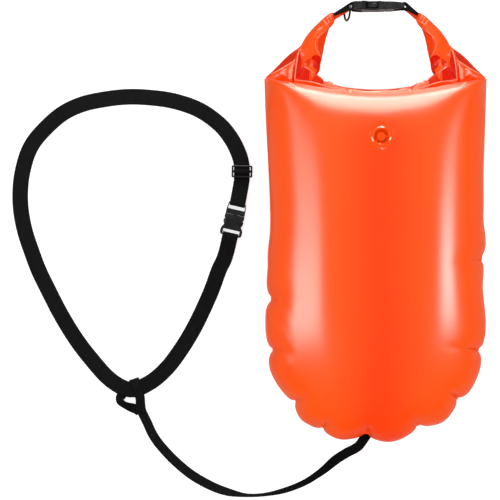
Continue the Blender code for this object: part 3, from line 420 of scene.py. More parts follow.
# %% Routes of the straps
BELT_WIDTH = 0.025
LEASH_WIDTH = 0.015
BELT_ROUTE = (
    (-0.2284, -0.0328, 0.0066), (-0.2313, -0.0452, 0.0042), (-0.2360, -0.0600, 0.0030),
    (-0.2437, -0.0760, 0.0018), (-0.2550, -0.1070, 0.0012), (-0.2690, -0.1390, 0.0012),
    (-0.2850, -0.1710, 0.0012), (-0.3040, -0.2020, 0.0012), (-0.3260, -0.2310, 0.0020),
    (-0.3530, -0.2540, 0.0033), (-0.3840, -0.2650, 0.0034), (-0.4160, -0.2490, 0.0028),
    (-0.4480, -0.2140, 0.0014), (-0.4720, -0.1820, 0.0012), (-0.4950, -0.1440, 0.0012),
    (-0.5140, -0.1070, 0.0012), (-0.5290, -0.0760, 0.0012), (-0.5410, -0.0440, 0.0012),
    (-0.5510, -0.0130, 0.0012), (-0.5570, 0.0190, 0.0012), (-0.5580, 0.0510, 0.0012),
    (-0.5540, 0.0820, 0.0012), (-0.5440, 0.1140, 0.0012), (-0.5270, 0.1390, 0.0012),
    (-0.4950, 0.1690, 0.0012), (-0.4640, 0.1850, 0.0012), (-0.4320, 0.1930, 0.0012),
    (-0.3920, 0.1980, 0.0012), (-0.3530, 0.1970, 0.0012), (-0.3130, 0.1910, 0.0012),
    (-0.2740, 0.1770, 0.0012), (-0.2420, 0.1540, 0.0014), (-0.2230, 0.1300, 0.0022),
    (-0.2115, 0.1060, 0.0029), (-0.2076, 0.0900, 0.0029), (-0.2073, 0.0862, 0.0028),
    (-0.2072, 0.0825, 0.0056), (-0.2072, 0.0775, 0.0056), (-0.2073, 0.0738, 0.0028),
    (-0.2075, 0.0708, 0.0029), (-0.2075, 0.0690, 0.0029),
)
LEASH_ROUTE = (
    (-0.0235, -0.3450, 0.0850), (-0.0242, -0.3460, 0.0850), (-0.0264, -0.3484, 0.0844),
    (-0.0330, -0.3532, 0.0800), (-0.0440, -0.3597, 0.0700), (-0.0610, -0.3725, 0.0510),
    (-0.0820, -0.3920, 0.0310), (-0.1080, -0.4105, 0.0165), (-0.1390, -0.4235, 0.0092),
    (-0.1710, -0.4305, 0.0083), (-0.2020, -0.4315, 0.0082), (-0.2340, -0.4255, 0.0057),
    (-0.2625, -0.4140, 0.0038), (-0.2915, -0.3965, 0.0023), (-0.3210, -0.3705, 0.0015),
    (-0.3450, -0.3420, 0.0012), (-0.3576, -0.3165, 0.0012), (-0.3660, -0.2995, 0.0012),
)
LEASH_TWIST = (0, 0, 0, 0, 4, 12, 46, 58, 64, 78, 76, 38, 20, 8, 2, 0, 0, 0)
LOOP_ROUTE = (
    (-0.3650, -0.3015, 0.0031), (-0.3668, -0.2950, 0.0031), (-0.3677, -0.2870, 0.0042),
    (-0.3684, -0.2770, 0.0058), (-0.3722, -0.2640, 0.0058), (-0.3760, -0.2530, 0.0058),
    (-0.3771, -0.2492, 0.0051), (-0.3775, -0.2482, 0.0034), (-0.3774, -0.2491, 0.0020),
    (-0.3776, -0.2510, 0.0012), (-0.3790, -0.2550, 0.0011), (-0.3835, -0.2610, 0.0011),
    (-0.3900, -0.2665, 0.0011), (-0.3958, -0.2715, 0.0011), (-0.3992, -0.2770, 0.0012),
    (-0.3996, -0.2825, 0.0040), (-0.3958, -0.2872, 0.0058), (-0.3900, -0.2903, 0.0055),
    (-0.3835, -0.2928, 0.0038), (-0.3763, -0.2955, 0.0013),
)
LOOP_TAIL = ((-0.3722, -0.2978, 0.0013), (-0.3690, -0.3002, 0.0013))
LOOP_TWIST = (0,) * 15 + (28, 42, 38, 20) + (0,) * 3
LOOP_TURN_OVER = (6, 9)
print("belt route:", len(BELT_ROUTE), "points")

# %% [markdown]
# The section of webbing is swept along the line: flat faces with thin rounded selvedges. At each
# point the section needs to know which way its width lies.

# %% Sweep a flat strap
WEBBING_THICKNESS = 0.0015
STRAP_STEPS = 6
STRAP_FACE = (-0.97, -0.9, -0.45, 0, 0.45, 0.9, 0.97)
STRAP_SECTION = [(a, 1) for a in STRAP_FACE] + [(1, 0.45), (1, -0.45)]
STRAP_SECTION += [(-a, -b) for a, b in STRAP_SECTION]


def level_sides(route):
    """At each point of a route, the level direction square to it."""
    route = np.array(route, float)
    ahead = np.array([ahead_at(route, i) for i in range(len(route))])
    sides = np.stack([ahead[:, 1], -ahead[:, 0], np.zeros(len(route))], axis=1)
    return sides / np.linalg.norm(sides, axis=1)[:, None]


def twisted_sides(route, twists, turn_over=None):
    """Level sides turned about the route; past a turn-over the other face is up."""
    route = np.array(route, float)
    sides = []
    for i, side in enumerate(level_sides(route)):
        if turn_over and turn_over[0] <= i < turn_over[1]:
            side = sides[turn_over[0] - 1]
        elif turn_over and i >= turn_over[1]:
            side = -side
        turn = Matrix.Rotation(math.radians(twists[i]), 3, Vector(ahead_at(route, i)))
        sides.append(np.array(turn @ Vector(side)))
    return np.array(sides)


def strap(name, route, sides, width, steps=STRAP_STEPS, stretch=slice(None)):
    """Webbing swept along a stretch of a route, its width lying in the given sides."""
    run = smooth_run(route, steps)
    across = smooth_run(sides, steps)
    rings, lay, gone = [], [], 0.0
    for i, place in enumerate(run):
        ahead = unit(ahead_at(run, i))
        side = unit(across[i] - ahead * (across[i] @ ahead))
        face = np.cross(ahead, side)
        gone += float(np.linalg.norm(place - run[i - 1])) if i else 0.0
        rings.append([place + side * (a * width / 2) + face * (b * WEBBING_THICKNESS / 2)
                      for a, b in STRAP_SECTION])
        lay.append([(gone, a * width / 2, 0) for a, b in STRAP_SECTION])
    skin = skin_over(rings[stretch], lay[stretch])
    made = piece_from(skin, name, webbing_finish, sharp=THIN_HARD)
    print(f"{name}: {run_length(run[stretch]):.3f} m long, {len(made.data.polygons)} faces")
    return made, run[stretch]


# %% [markdown]
# The belt is made in three lengths that meet end to end, each cut from the same long sweep. The
# first stays with the bag; the other two are set in place where they lie and follow no body.

# %% Belt, leash and loop
# The points of the route where the lengths start and end
BELT_MEETINGS = (0, 19, 29, len(BELT_ROUTE) - 1)
# Each length, and if it gives way: the two bodies it follows, and from where to where it changes over
BELT_LENGTHS = (
    ("belt_socket_side", None),
    ("belt_plug_side", ("waist_plug", "bag", BELT_ROUTE[29], BELT_ROUTE[24])),
    ("belt_slider_side", ("slider", "waist_plug", (-0.2078, 0.0900, 0.0029), (-0.2200, 0.1250, 0.0024))),
)

straps = []
for (name, gives), first, last in zip(BELT_LENGTHS, BELT_MEETINGS, BELT_MEETINGS[1:]):
    stretch = slice(first * STRAP_STEPS, last * STRAP_STEPS + 1)
    piece, run = strap(name, BELT_ROUTE, level_sides(BELT_ROUTE), BELT_WIDTH, stretch=stretch)
    straps.append((piece, "belt_webbing", run, BELT_WIDTH, gives))
leash, run = strap("leash", LEASH_ROUTE, twisted_sides(LEASH_ROUTE, LEASH_TWIST), LEASH_WIDTH)
straps.append((leash, "leash_webbing", run, LEASH_WIDTH, None))
loop_line = LOOP_ROUTE + LOOP_TAIL
loop_sides = twisted_sides(loop_line, LOOP_TWIST, LOOP_TURN_OVER)
loop, run = strap("leash_loop_strap", loop_line, loop_sides, LEASH_WIDTH)
straps.append((loop, "leash_loop", run, LEASH_WIDTH, None))
for piece, node, run, width, gives in straps:
    if gives:
        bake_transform(piece)
    else:
        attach(piece, "bag")
    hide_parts(node)

# %% [markdown]
# ## The inflated bag
#
# Each chamber is a sheet of film welded all round and blown up. The seam shortens as the film
# swells, so it gathers into lobes with a pinch between each two. The seam line is drawn through
# measured points, sharp at the pinches, and a calmer line without lobes guides the film further in.

# %% Seam line
HALF_WIDTH = 0.345 / 2
BAG_LENGTH = 0.561
HANDLE_RISE = 0.120
SEAM_HEIGHT = 0.170 / 2
FOOT_Y = -(BAG_LENGTH + HANDLE_RISE) / 2
SEAM_SHARES = (
    (-0.997, 1.000), (-0.984, 0.892), (-0.955, 0.721), (-0.943, 0.594), (-0.966, 0.495),
    (-0.907, 0.394), (-0.988, 0.329), (-0.905, 0.256), (-0.952, 0.207), (-0.849, 0.144),
    (-0.710, 0.116), (-0.705, 0.080), (-0.624, 0.051), (-0.469, 0.042), (-0.391, 0.014),
    (-0.247, 0.006), (-0.085, 0.030), (0.076, 0.000), (0.256, 0.011), (0.376, 0.053),
    (0.548, 0.047), (0.669, 0.073), (0.721, 0.124), (0.849, 0.141), (0.943, 0.210),
    (0.903, 0.256), (0.987, 0.307), (0.961, 0.417), (0.922, 0.501), (0.966, 0.624),
    (0.970, 0.749), (0.987, 0.905), (0.997, 1.000),
    (0.759, 0.988), (0.400, 0.970), (0.000, 0.962), (-0.400, 0.970), (-0.759, 0.988),
)
PINCHES = (5, 7, 10, 13, 16, 19, 22, 25, 28)
# How much a lobe rounds over before it dives into a pinch
PINCH_DIVE = 0.9
TOP_CORNERS = (0, 32)
SEAM_STEPS = 8
CALM_ROUNDS = 170


def on_plan(across, along, rise=0.0):
    """A place seen from above, from shares of half the width, the length and the handle's rise."""
    return np.array((across * HALF_WIDTH, FOOT_Y + along * BAG_LENGTH + rise * HANDLE_RISE))


def smooth_ring(points, corners, pinches, steps):
    """A closed smooth line with straight corners; at a pinch it dives inward from both sides."""
    count = len(points)
    middle = np.mean(points, axis=0)
    ring = []
    for i in range(count):
        before, start, end, after = (points[(i + k) % count] for k in (-1, 0, 1, 2))
        span = end - start
        leave, arrive = (end - before) / 2, (after - start) / 2
        if i in corners:
            leave = span
        if (i + 1) % count in corners:
            arrive = span
        if i in pinches:
            leave = span / 2 - unit(middle - start) * np.linalg.norm(span) * PINCH_DIVE
        if (i + 1) % count in pinches:
            arrive = span / 2 + unit(middle - end) * np.linalg.norm(span) * PINCH_DIVE
        ring += [hermite(start, end, leave, arrive, s / steps) for s in range(steps)]
    return np.array(ring)


seam = smooth_ring([on_plan(*s) for s in SEAM_SHARES], TOP_CORNERS, PINCHES, SEAM_STEPS)
calm = seam.copy()
free = np.arange(1, TOP_CORNERS[1] * SEAM_STEPS)
for _ in range(CALM_ROUNDS):
    calm[free] = (calm[free - 1] + calm[free] * 2 + calm[free + 1]) / 4
print("seam line:", len(seam), "points,", round(run_length(seam), 3), "m round")

# %% [markdown]
# The film swells from the seam to a spine under the middle of the bag. At the foot the lines fan
# out of the spine's end; under the top edge the spine spreads like a T, so the film rolls off
# straight there.

# %% Lines from the spine to the seam
SPINE_FOOT = FOOT_Y + 0.25 * BAG_LENGTH
SPINE_HEAD = FOOT_Y + 0.857 * BAG_LENGTH
SPREAD_FROM = FOOT_Y + 0.58 * BAG_LENGTH
HEAD_SPREAD = 0.7
LOBE_REACH = 0.32


def lobe_share(share):
    """How much of the lobes is left at a share of the way from the spine to the seam."""
    return max(0.0, (share - 1 + LOBE_REACH) / LOBE_REACH)


def swell_ring(share, edge):
    """An outline drawn in to a share of its way from the spine."""
    way = np.clip((edge[:, 1] - SPREAD_FROM) / (SPINE_HEAD - SPREAD_FROM), 0, 1)
    heart = np.stack([edge[:, 0] * HEAD_SPREAD * way**3, np.clip(edge[:, 1], SPINE_FOOT, SPINE_HEAD)], axis=1)
    return heart + (edge - heart) * share


print("spine from", round(SPINE_FOOT, 3), "to", round(SPINE_HEAD, 3), "m")

# %% [markdown]
# Film stands higher the deeper it lies inside the seam. The distance to the nearest edge would
# draw ridges, so the depth is a mean over all directions. The top edge counts for less in it,
# because the film stands steeply there.

# %% Depth inside the seam
TOP_PULL = 0.32
LEAST_AWAY = 1e-7


def depth_inside(places, outline):
    """How deep inside an outline each place lies, and the top edge's share in that."""
    starts, ends = outline, np.roll(outline, -1, axis=0)
    to_start = starts[None] - places[:, None]
    to_end = ends[None] - places[:, None]
    cross = to_start[..., 0] * to_end[..., 1] - to_start[..., 1] * to_end[..., 0]
    dot = (to_start * to_end).sum(axis=2)
    away = np.abs(cross) / np.linalg.norm(ends - starts, axis=1)[None]
    pull = np.abs(np.arctan2(cross, dot)) / np.maximum(away, LEAST_AWAY)
    at_top = np.arange(len(outline)) >= TOP_CORNERS[1] * SEAM_STEPS
    pull *= np.where(at_top, TOP_PULL, 1.0)
    return 1 / pull.sum(axis=1), pull[:, at_top].sum(axis=1) / pull.sum(axis=1)


at_spine, _ = depth_inside(np.array([(0.0, SPINE_FOOT), (0.0, SPINE_HEAD)]), seam)
print("depth at the spine's ends", at_spine.round(4))

# %% [markdown]
# The swelling levels off softly at its full depth, which leaves a broad face and round shoulders.
# The film is held level round the valve. Inside the T the last ring is drawn in to a place near
# its head, so that the face closes smoothly.

# %% Swelling rings
SEAM_GAP = 0.00125
LOBE_WEIGHT = 0.45
MIDDLE_SHARE = 0.01
SWELL_RINGS = 46
RING_SPACING = 1.9
SWELL_POWER = 1.35
FULL_DEPTH = 0.0275
# How sharply the swelling levels off at full depth
LEVEL_OFF = 12.0
# How much more upright the film stands along the top edge
TOP_BLUFF = 3.0
VALVE_CENTRE = (0.0048, FOOT_Y + BAG_LENGTH - 0.092)
# How far round the valve the film is held level, and how suddenly that ends
VALVE_PULL = 0.030
VALVE_PULL_POWER = 4
CROWN_CENTRE = (0.0, SPREAD_FROM + (SPINE_HEAD - SPREAD_FROM) * 0.8)
CROWN_SHARES = (0.93, 0.86, 0.79, 0.72, 0.65, 0.58, 0.51, 0.44, 0.37, 0.30, 0.23, 0.16, 0.09, 0.02)
EASE_IN = 22
EASE_ROUNDS = 60


def eased(rings):
    """Rings smoothed along themselves, more so further in."""
    ease = np.clip(np.arange(len(rings)) / EASE_IN, 0, 1)[:, None, None] / 2
    for _ in range(EASE_ROUNDS):
        beside = (np.roll(rings, 1, axis=1) + np.roll(rings, -1, axis=1)) / 2
        rings = rings + (beside - rings) * ease
    return rings


def swell_rings(up, flat_share):
    """Rings from the seam to the middle of one chamber."""
    base = SEAM_HEIGHT + up * SEAM_GAP
    tall = SEAM_HEIGHT - SEAM_GAP
    inward = (np.arange(SWELL_RINGS + 1) / SWELL_RINGS) ** RING_SPACING
    shares = MIDDLE_SHARE + (1 - MIDDLE_SHARE) * (1 - inward)
    plans = eased(np.array([swell_ring(s, calm + (seam - calm) * lobe_share(s)) for s in shares]))
    calm_plans = eased(np.array([swell_ring(s, calm) for s in shares]))
    crown = CROWN_CENTRE + (plans[-1] - CROWN_CENTRE) * np.array(CROWN_SHARES)[:, None, None]
    plans, calm_plans = np.concatenate([plans, crown]), np.concatenate([calm_plans, crown])
    shares = np.append(shares, [MIDDLE_SHARE] * len(crown))
    rings = []
    for share, plan, calm_plan in zip(shares, plans, calm_plans):
        height = np.zeros(len(plan))
        if share < 1:
            lobed = lobe_share(share) * LOBE_WEIGHT
            depth, _ = depth_inside(plan, seam)
            calm_depth, top_share = depth_inside(calm_plan, calm)
            depth = depth * lobed + calm_depth * (1 - lobed)
            short = np.minimum(np.logaddexp(0, LEVEL_OFF * (1 - depth / FULL_DEPTH)) / LEVEL_OFF, 1)
            height = (1 - short**SWELL_POWER) ** (1 / (2 + TOP_BLUFF * top_share))
        near_valve = np.exp(-(np.linalg.norm(plan - VALVE_CENTRE, axis=1) / VALVE_PULL) ** VALVE_PULL_POWER)
        height += (1 - height) * near_valve
        rings.append(np.column_stack([plan, base + up * tall * np.minimum(height * flat_share, 1)]))
    return np.array(rings)


# %% [markdown]
# Folds are pressed into a skin with one tool: a line seen from above, how deep and how wide the
# fold is, and how it fades. A crest is sharp and its sides fall away like creased film. Only points
# that face the given way take part, so a fold on the front leaves the back alone.

# %% Press folds into a skin
CREST_SHARPNESS = 1.7
# How fast a point takes part as the skin there turns to face up or down
FACING_GAIN = 3
END_FADE = 1.4
BOTH_FADE = 0.6


def fade_along(fade, way):
    """How strong a fold is along its way: dying away to its end, or towards both ends."""
    if fade == "end":
        return (1 - way) ** END_FADE
    return np.sin(np.pi * np.clip(way, 0, 1)) ** BOTH_FADE


def from_line(places, line):
    """Each place's distance from a line on the plan, and how far along the line it lies, 0 to 1."""
    line = np.array(line, float)
    legs = np.linalg.norm(np.diff(line, axis=0), axis=1)
    best = np.full(len(places), np.inf)
    way = np.zeros(len(places))
    gone = 0.0
    for start, end, leg in zip(line, line[1:], legs):
        t = np.clip(((places - start) @ (end - start)) / leg**2, 0, 1)
        away = np.linalg.norm(places - (start + t[:, None] * (end - start)), axis=1)
        nearer = away < best
        best[nearer] = away[nearer]
        way[nearer] = (gone + t[nearer] * leg) / legs.sum()
        gone += leg
    return best, way


def press_folds(bm, folds, up=1):
    """Push the skin out along each fold (line, depth, width at its start and end, fade)."""
    bm.normal_update()
    verts = list(bm.verts)
    places = np.array([v.co for v in verts])
    normals = np.array([v.normal for v in verts])
    facing = np.clip(normals[:, 2] * up * FACING_GAIN, 0, 1)
    for line, depth, (wide_start, wide_end), fade in folds:
        away, way = from_line(places[:, :2], line)
        width = wide_start + (wide_end - wide_start) * way
        push = depth * fade_along(fade, way) * np.clip(1 - away / width, 0, 1) ** CREST_SHARPNESS * facing
        places += normals * push[:, None]
    for vert, place in zip(verts, places):
        vert.co = place


# %% [markdown]
# At each pinch a valley runs in from the seam, each of its own length and lean, and the film
# puckers slightly all along the weld.

# %% Pinches and puckers
PINCH_DEPTH = 0.0045
PINCH_REACH = 0.050
PINCH_REACH_SHARES = (0.8, 0.4)
PINCH_WIDTHS = (0.005, 0.012)
PINCH_LEAN = 0.006
# How many radians further on a wave each next pinch takes its length and its lean
REACH_WAVE, LEAN_WAVE = 2.3, 1.7
# Between these shares of the chamber's height the film puckers: two waves across one another
PUCKER_BAND = (0.02, 0.75)
PUCKER_HEIGHT = 0.00035
PUCKER_WAVES = ((240, 190, 0, 1), (130, -310, 1.3, 0.8))
PUCKER_FADE = 1.5


def pinch_folds():
    """A valley from each pinch towards the spine."""
    folds = []
    for pinch in PINCHES:
        start = seam[pinch * SEAM_STEPS]
        inward = unit(np.array((0.0, np.clip(start[1], SPINE_FOOT, SPINE_HEAD))) - start)
        side = np.array((-inward[1], inward[0]))
        steady, varied = PINCH_REACH_SHARES
        reach = PINCH_REACH * (steady + varied * math.sin(pinch * REACH_WAVE))
        end = start + inward * reach + side * (PINCH_LEAN * math.sin(pinch * LEAN_WAVE))
        folds.append(([start, end], -PINCH_DEPTH, PINCH_WIDTHS, "end"))
    return folds


def pucker(bm, up):
    """Small waves along the weld, dying away inward."""
    bm.normal_update()
    low, high = PUCKER_BAND
    for vert in bm.verts:
        x, y, z = vert.co
        rise = (z - SEAM_HEIGHT) * up / SEAM_HEIGHT
        if low < rise < high:
            wave = sum(math.sin(x * a + y * b + shift) * share for a, b, shift, share in PUCKER_WAVES)
            fade = math.sin(math.pi * min(rise / high, 1)) ** PUCKER_FADE
            vert.co += vert.normal * (PUCKER_HEIGHT * wave * fade)


# %% [markdown]
# The valve sits in a recess of the film. A short cylinder is stood through the film and taken away
# from it, twice: once for the flange and once, narrower, for what hangs below it.

# %% Recess for the valve
# Radius and depth below the film's face
RECESS = ((0.0193, 0.006), (0.0133, 0.045))
RECESS_SIDES = 96


def valve_recess(up, radius, depth):
    """A short cylinder that stands through the film over the valve."""
    bm = bmesh.new()
    bmesh.ops.create_cone(bm, cap_ends=True, segments=RECESS_SIDES, radius1=radius, radius2=radius,
                          depth=2 * depth)
    bmesh.ops.translate(bm, verts=bm.verts, vec=(*VALVE_CENTRE, SEAM_HEIGHT * (1 + up)))
    return placed(bm, "valve_recess")


def cut_by(target, cutter):
    """Cut the film by a solid, keep the result as its mesh and throw the cutter away."""
    tool = target.modifiers.new("recess", "BOOLEAN")
    tool.operation = "DIFFERENCE"
    tool.solver = "EXACT"
    tool.object = cutter
    shaped = target.evaluated_get(bpy.context.evaluated_depsgraph_get())
    mesh = bpy.data.meshes.new_from_object(shaped)
    target.modifiers.clear()
    target.data = mesh
    bpy.data.objects.remove(cutter)


# %% [markdown]
# Now the two chambers can be made. Light is painted on the steep film along the weld at the mouth,
# where it would lie in shade, and down the middle the colour is painted deeper, as painted shade.

# %% Front and back chamber skins
# How far each chamber is blown up, as a share of its room; the floor presses the back one flat
FRONT_FULL = 1.0
BACK_FULL = 1.03
# How much light is painted on the film at the weld along the mouth, how far in that reaches and how it sets
# in
MOUTH_PAINTED_LIGHT = 1.0
MOUTH_PAINTED_LIGHT_REACH = 0.016
MOUTH_PAINTED_LIGHT_GAIN = 3
MOUTH_PAINTED_LIGHT_FROM = 0.8
# How much deeper the colour is painted down the middle, as painted shade, and how wide that is
MIDDLE_PAINTED_SHADE = 0.65
MIDDLE_WIDTH = 0.055


def chamber_skin(name, node, up, flat_share):
    """One chamber's film, pinched and puckered along the seam, with the valve's recess in it."""
    bm = skin_over(swell_rings(up, flat_share))
    press_folds(bm, pinch_folds(), up)
    pucker(bm, up)
    made = piece_from(bm, name, film)
    for radius, depth in RECESS:
        cut_by(made, valve_recess(up, radius, depth))
    made.data.shade_smooth()
    made.data.set_sharp_from_angle(angle=math.radians(CHAMBER_HARD))
    places = np.array([v.co for v in made.data.vertices])
    # Painted light along the mouth weld, painted shade down the middle
    away, way = from_line(places[:, :2], seam[TOP_CORNERS[1] * SEAM_STEPS:])
    set_in = np.clip(MOUTH_PAINTED_LIGHT_GAIN * np.sin(np.pi * way) - MOUTH_PAINTED_LIGHT_FROM, 0, 1)
    mark(made, "painted_light", MOUTH_PAINTED_LIGHT * np.clip(1 - away / MOUTH_PAINTED_LIGHT_REACH, 0, 1) * set_in)
    deep = MIDDLE_PAINTED_SHADE * np.exp(-((places[:, 0] - VALVE_CENTRE[0]) / MIDDLE_WIDTH) ** 2)
    mark(made, "deep", deep * np.clip((VALVE_CENTRE[1] - places[:, 1]) / MIDDLE_WIDTH + 1, 0, 1))
    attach(made, "bag")
    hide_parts(node)
    print(f"{name}: {len(made.data.polygons)} faces")
    return made


front_skin = chamber_skin("front_chamber_film", "front_chamber", 1, FRONT_FULL)
back_skin = chamber_skin("back_chamber_film", "back_chamber", -1, BACK_FULL)

# %% [markdown]
# ## Rolled collar, arms and neck folds
#
# The mouth of the bag is rolled three times round a stiff strip, and the ends of the roll are bent
# up into two arms. One line runs from tip to tip, with a thickness and a depth at each station.

# %% The collar's line
COLLAR_THICKNESS = 0.012
COLLAR_DEPTH = 0.040
COLLAR_SHARES = (
    (-0.382, 1.0000, 0.818, 1.00, 0.84), (-0.454, 1.0000, 0.687, 2.00, 0.95),
    (-0.526, 1.0000, 0.505, 2.80, 1.00), (-0.566, 1.0000, 0.313, 3.20, 1.00),
    (-0.562, 1.0000, 0.145, 2.90, 1.00), (-0.499, 0.9940, 0.000, 1.90, 1.00),
    (-0.391, 0.9755, 0.000, 1.05, 0.95), (-0.200, 0.9650, 0.000, 0.95, 0.90),
    (0.000, 0.9615, 0.000, 0.95, 0.90),
)
COLLAR_STEPS = 14

left_stations = [(*on_plan(a, b, r), SEAM_HEIGHT, t * COLLAR_THICKNESS, d * COLLAR_DEPTH)
                 for a, b, r, t, d in COLLAR_SHARES]
right_stations = [(-s[0], *s[1:]) for s in left_stations[-2::-1]]
collar_run = smooth_run(left_stations + right_stations, COLLAR_STEPS)
collar_places, collar_sizes = collar_run[:, :3], collar_run[:, 3:]
print("collar's line:", round(run_length(collar_places), 3), "m from tip to tip")

# %% [markdown]
# The roll is a tube round the middle of that line, slightly square, and rounded over where the
# folded neck takes it in. Knuckles and creases are pressed into it, front and back. The right half
# mirrors the left with small changes.

# %% Rolled collar
COLLAR_SIDES = 72
COLLAR_SQUARENESS = 0.8
# The roll begins this many stations from each tip, and rounds over in so many rings
ROLL_FROM = int(COLLAR_STEPS * 5.2)
ROLL_TAPER = 9
ROLL_END = 0.2
LEFT_ROLL_FOLDS = [
    ([(-0.0720, 0.2150), (-0.0620, 0.2040), (-0.0520, 0.1960)], 0.0036, (0.0100, 0.0090), "both"),
    ([(-0.0570, 0.2080), (-0.0490, 0.1970)], -0.0030, (0.0040, 0.0040), "both"),
    ([(-0.0470, 0.2060), (-0.0440, 0.1970), (-0.0400, 0.1920)], 0.0020, (0.0040, 0.0040), "both"),
    ([(-0.0440, 0.1960), (-0.0330, 0.2060)], 0.0020, (0.0020, 0.0020), "both"),
    ([(-0.0330, 0.2010), (-0.0060, 0.1990)], -0.0040, (0.0024, 0.0020), "both"),
]
# The right half's folds: nearer the middle, a little higher and deeper
RIGHT_NEARER, RIGHT_HIGHER, RIGHT_DEEPER = 0.97, 0.001, 1.1
roll_folds = LEFT_ROLL_FOLDS + [
    ([(-x * RIGHT_NEARER, y + RIGHT_HIGHER) for x, y in line], depth * RIGHT_DEEPER, widths, fade)
    for line, depth, widths, fade in LEFT_ROLL_FOLDS]


def roll_rings():
    """Rounded sections along the rolled mouth, between the arms."""
    turn = 2 * np.pi * np.arange(COLLAR_SIDES) / COLLAR_SIDES
    flat = np.sign(np.cos(turn)) * np.abs(np.cos(turn)) ** COLLAR_SQUARENESS
    tall = np.sign(np.sin(turn)) * np.abs(np.sin(turn)) ** COLLAR_SQUARENESS
    last = len(collar_places) - 1 - ROLL_FROM
    rings = []
    for i in range(ROLL_FROM, last + 1):
        ahead = unit(ahead_at(collar_places, i))
        inward = np.array((-ahead[1], ahead[0], 0))
        rounded = min(1.0, max(ROLL_END, min(i - ROLL_FROM, last - i) / ROLL_TAPER)) ** 0.5
        thick, deep = collar_sizes[i] * rounded
        upright = np.array((0, 0, 1)) * (tall * deep / 2)[:, None]
        rings.append(collar_places[i] + inward * (flat * thick / 2)[:, None] + upright)
    return np.array(rings)


bm = skin_over(roll_rings())
press_folds(bm, roll_folds, 1)
press_folds(bm, roll_folds, -1)
collar = piece_from(bm, "rolled_collar_film", roll_film_painted_light, sharp=ROLL_HARD)
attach(collar, "bag")
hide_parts("collar_roll", "stiffener_strip")
print("collar:", len(collar.data.polygons), "faces")

# %% [markdown]
# Beside the roll the neck is folded flat like a paper bag's corner and runs on as the arm. It is
# drawn fold by fold: the edge of the folded film, then points on the folds with their heights, then
# the creases that run through them.

# %% Folds of the neck and arms
# The edge of the film, from the tip of the arm out to the bag's corner and back inside, in mm
FOLD_EDGE = {
    "tip_end": (-62.4, 321.9), "tip_top": (-64.9, 324.8), "tip_out": (-72.9, 322.4),
    "cuff_out": (-83.1, 313.5), "out_1": (-92.5, 304.6), "out_2": (-101.8, 294.8), "out_3": (-109.4, 285.0),
    "notch_out": (-115.2, 273.5), "neck_1": (-121.0, 267.7), "neck_2": (-129.9, 262.8),
    "neck_3": (-138.3, 255.7), "neck_4": (-148.5, 244.5), "neck_5": (-160.1, 233.0),
    "corner": (-171.2, 222.6), "foot_1": (-169.0, 213.0), "foot_2": (-148.5, 209.6),
    "foot_3": (-129.4, 207.1), "foot_4": (-106.7, 203.5), "foot_5": (-88.9, 200.8),
    "foot_6": (-68.5, 199.0), "in_1": (-68.5, 209.8), "in_2": (-77.8, 214.2), "in_3": (-82.4, 222.6),
    "notch_in": (-90.3, 227.6), "in_4": (-86.1, 233.0), "in_5": (-84.7, 245.4), "in_6": (-82.2, 256.1),
    "in_7": (-78.7, 272.1), "in_8": (-76.0, 285.5), "cuff_in": (-71.6, 298.4), "tip_in": (-68.9, 301.5),
    "tip_low": (-62.4, 309.0),
}
# Points on the folds: place in mm and height over the seam
FOLD_POINTS = {
    "t_a": (-63.6, 316.6, 15), "t_b": (-71.1, 313.9, 16), "t_c": (-67.1, 319.3, 13),
    "u1": (-66.9, 322.0, 8), "u2": (-80.6, 311.4, 10.5), "v1": (-65.9, 320.3, 6), "v2": (-74.8, 313.2, 9.5),
    "v3": (-64.2, 313.6, 11), "v4": (-73.6, 306.3, 11), "u3": (-63.8, 311.0, 12),
    "cuff_a": (-79.6, 309.5, 12.5), "cuff_b": (-75.1, 303.3, 12.5), "m1": (-84.5, 301.5, 13.5),
    "m2": (-96.9, 286.4, 14.5), "m3": (-104.0, 272.1, 14.5), "m4": (-106.7, 257.9, 14),
    "m5": (-111.2, 243.6, 13), "o2": (-99.4, 293.0, 10.5), "o3": (-106.8, 282.4, 10.5),
    "o1": (-91.2, 302.0, 10.5), "c1": (-76.0, 297.5, 12.5), "c2": (-92.0, 282.3, 14.5),
    "c3": (-88.9, 263.2, 13.5), "c4": (-84.5, 253.4, 8), "p1": (-101.8, 254.3, 14),
    "p2": (-91.1, 258.8, 12.5), "q1": (-97.8, 249.0, 7), "q2": (-89.4, 249.0, 6), "q3": (-90.3, 234.3, 6),
    "q4": (-96.9, 237.4, 7), "s1": (-106.7, 242.8, 9.5), "s2": (-101.8, 239.6, 9.5),
    "r1": (-111.2, 238.7, 13), "r2": (-101.4, 233.0, 12.5), "r3": (-92.5, 227.6, 10.5),
    "r4": (-81.8, 218.7, 11), "b1": (-122.6, 218.3, 10), "b2": (-102.3, 215.2, 11),
    "b3": (-76.9, 209.8, 11), "bf1": (-122.6, 211.6, 9), "bf2": (-102.3, 208.9, 9),
    "bf3": (-76.9, 203.6, 9), "e1": (-118.5, 265.0, 15), "e2": (-125.8, 216.1, 16),
    "e3": (-127.0, 209.8, 14), "d1": (-119.9, 265.4, 13), "d2": (-128.4, 216.1, 10),
    "d3": (-129.5, 210.4, 9), "g1": (-117.2, 263.2, 11), "g2": (-115.6, 254.3, 9.5),
    "g3": (-112.9, 241.9, 9.5), "g4": (-121.1, 218.7, 8), "f1": (-124.5, 250.3, 15.5),
    "f2": (-130.9, 216.9, 13.5), "f3": (-132.6, 210.2, 10), "l1": (-143.2, 237.4, 11),
    "l2": (-160.1, 228.5, 4), "l3": (-147.6, 228.5, 10.5), "l4": (-156.5, 225.8, 5.5),
    "w1": (-133.9, 236.5, 11), "w2": (-140.5, 233.4, 13.8), "w3": (-138.3, 224.1, 12),
    "w4": (-135.2, 217.8, 11), "k1": (-149.4, 220.5, 8), "k2": (-138.8, 216.1, 10),
}
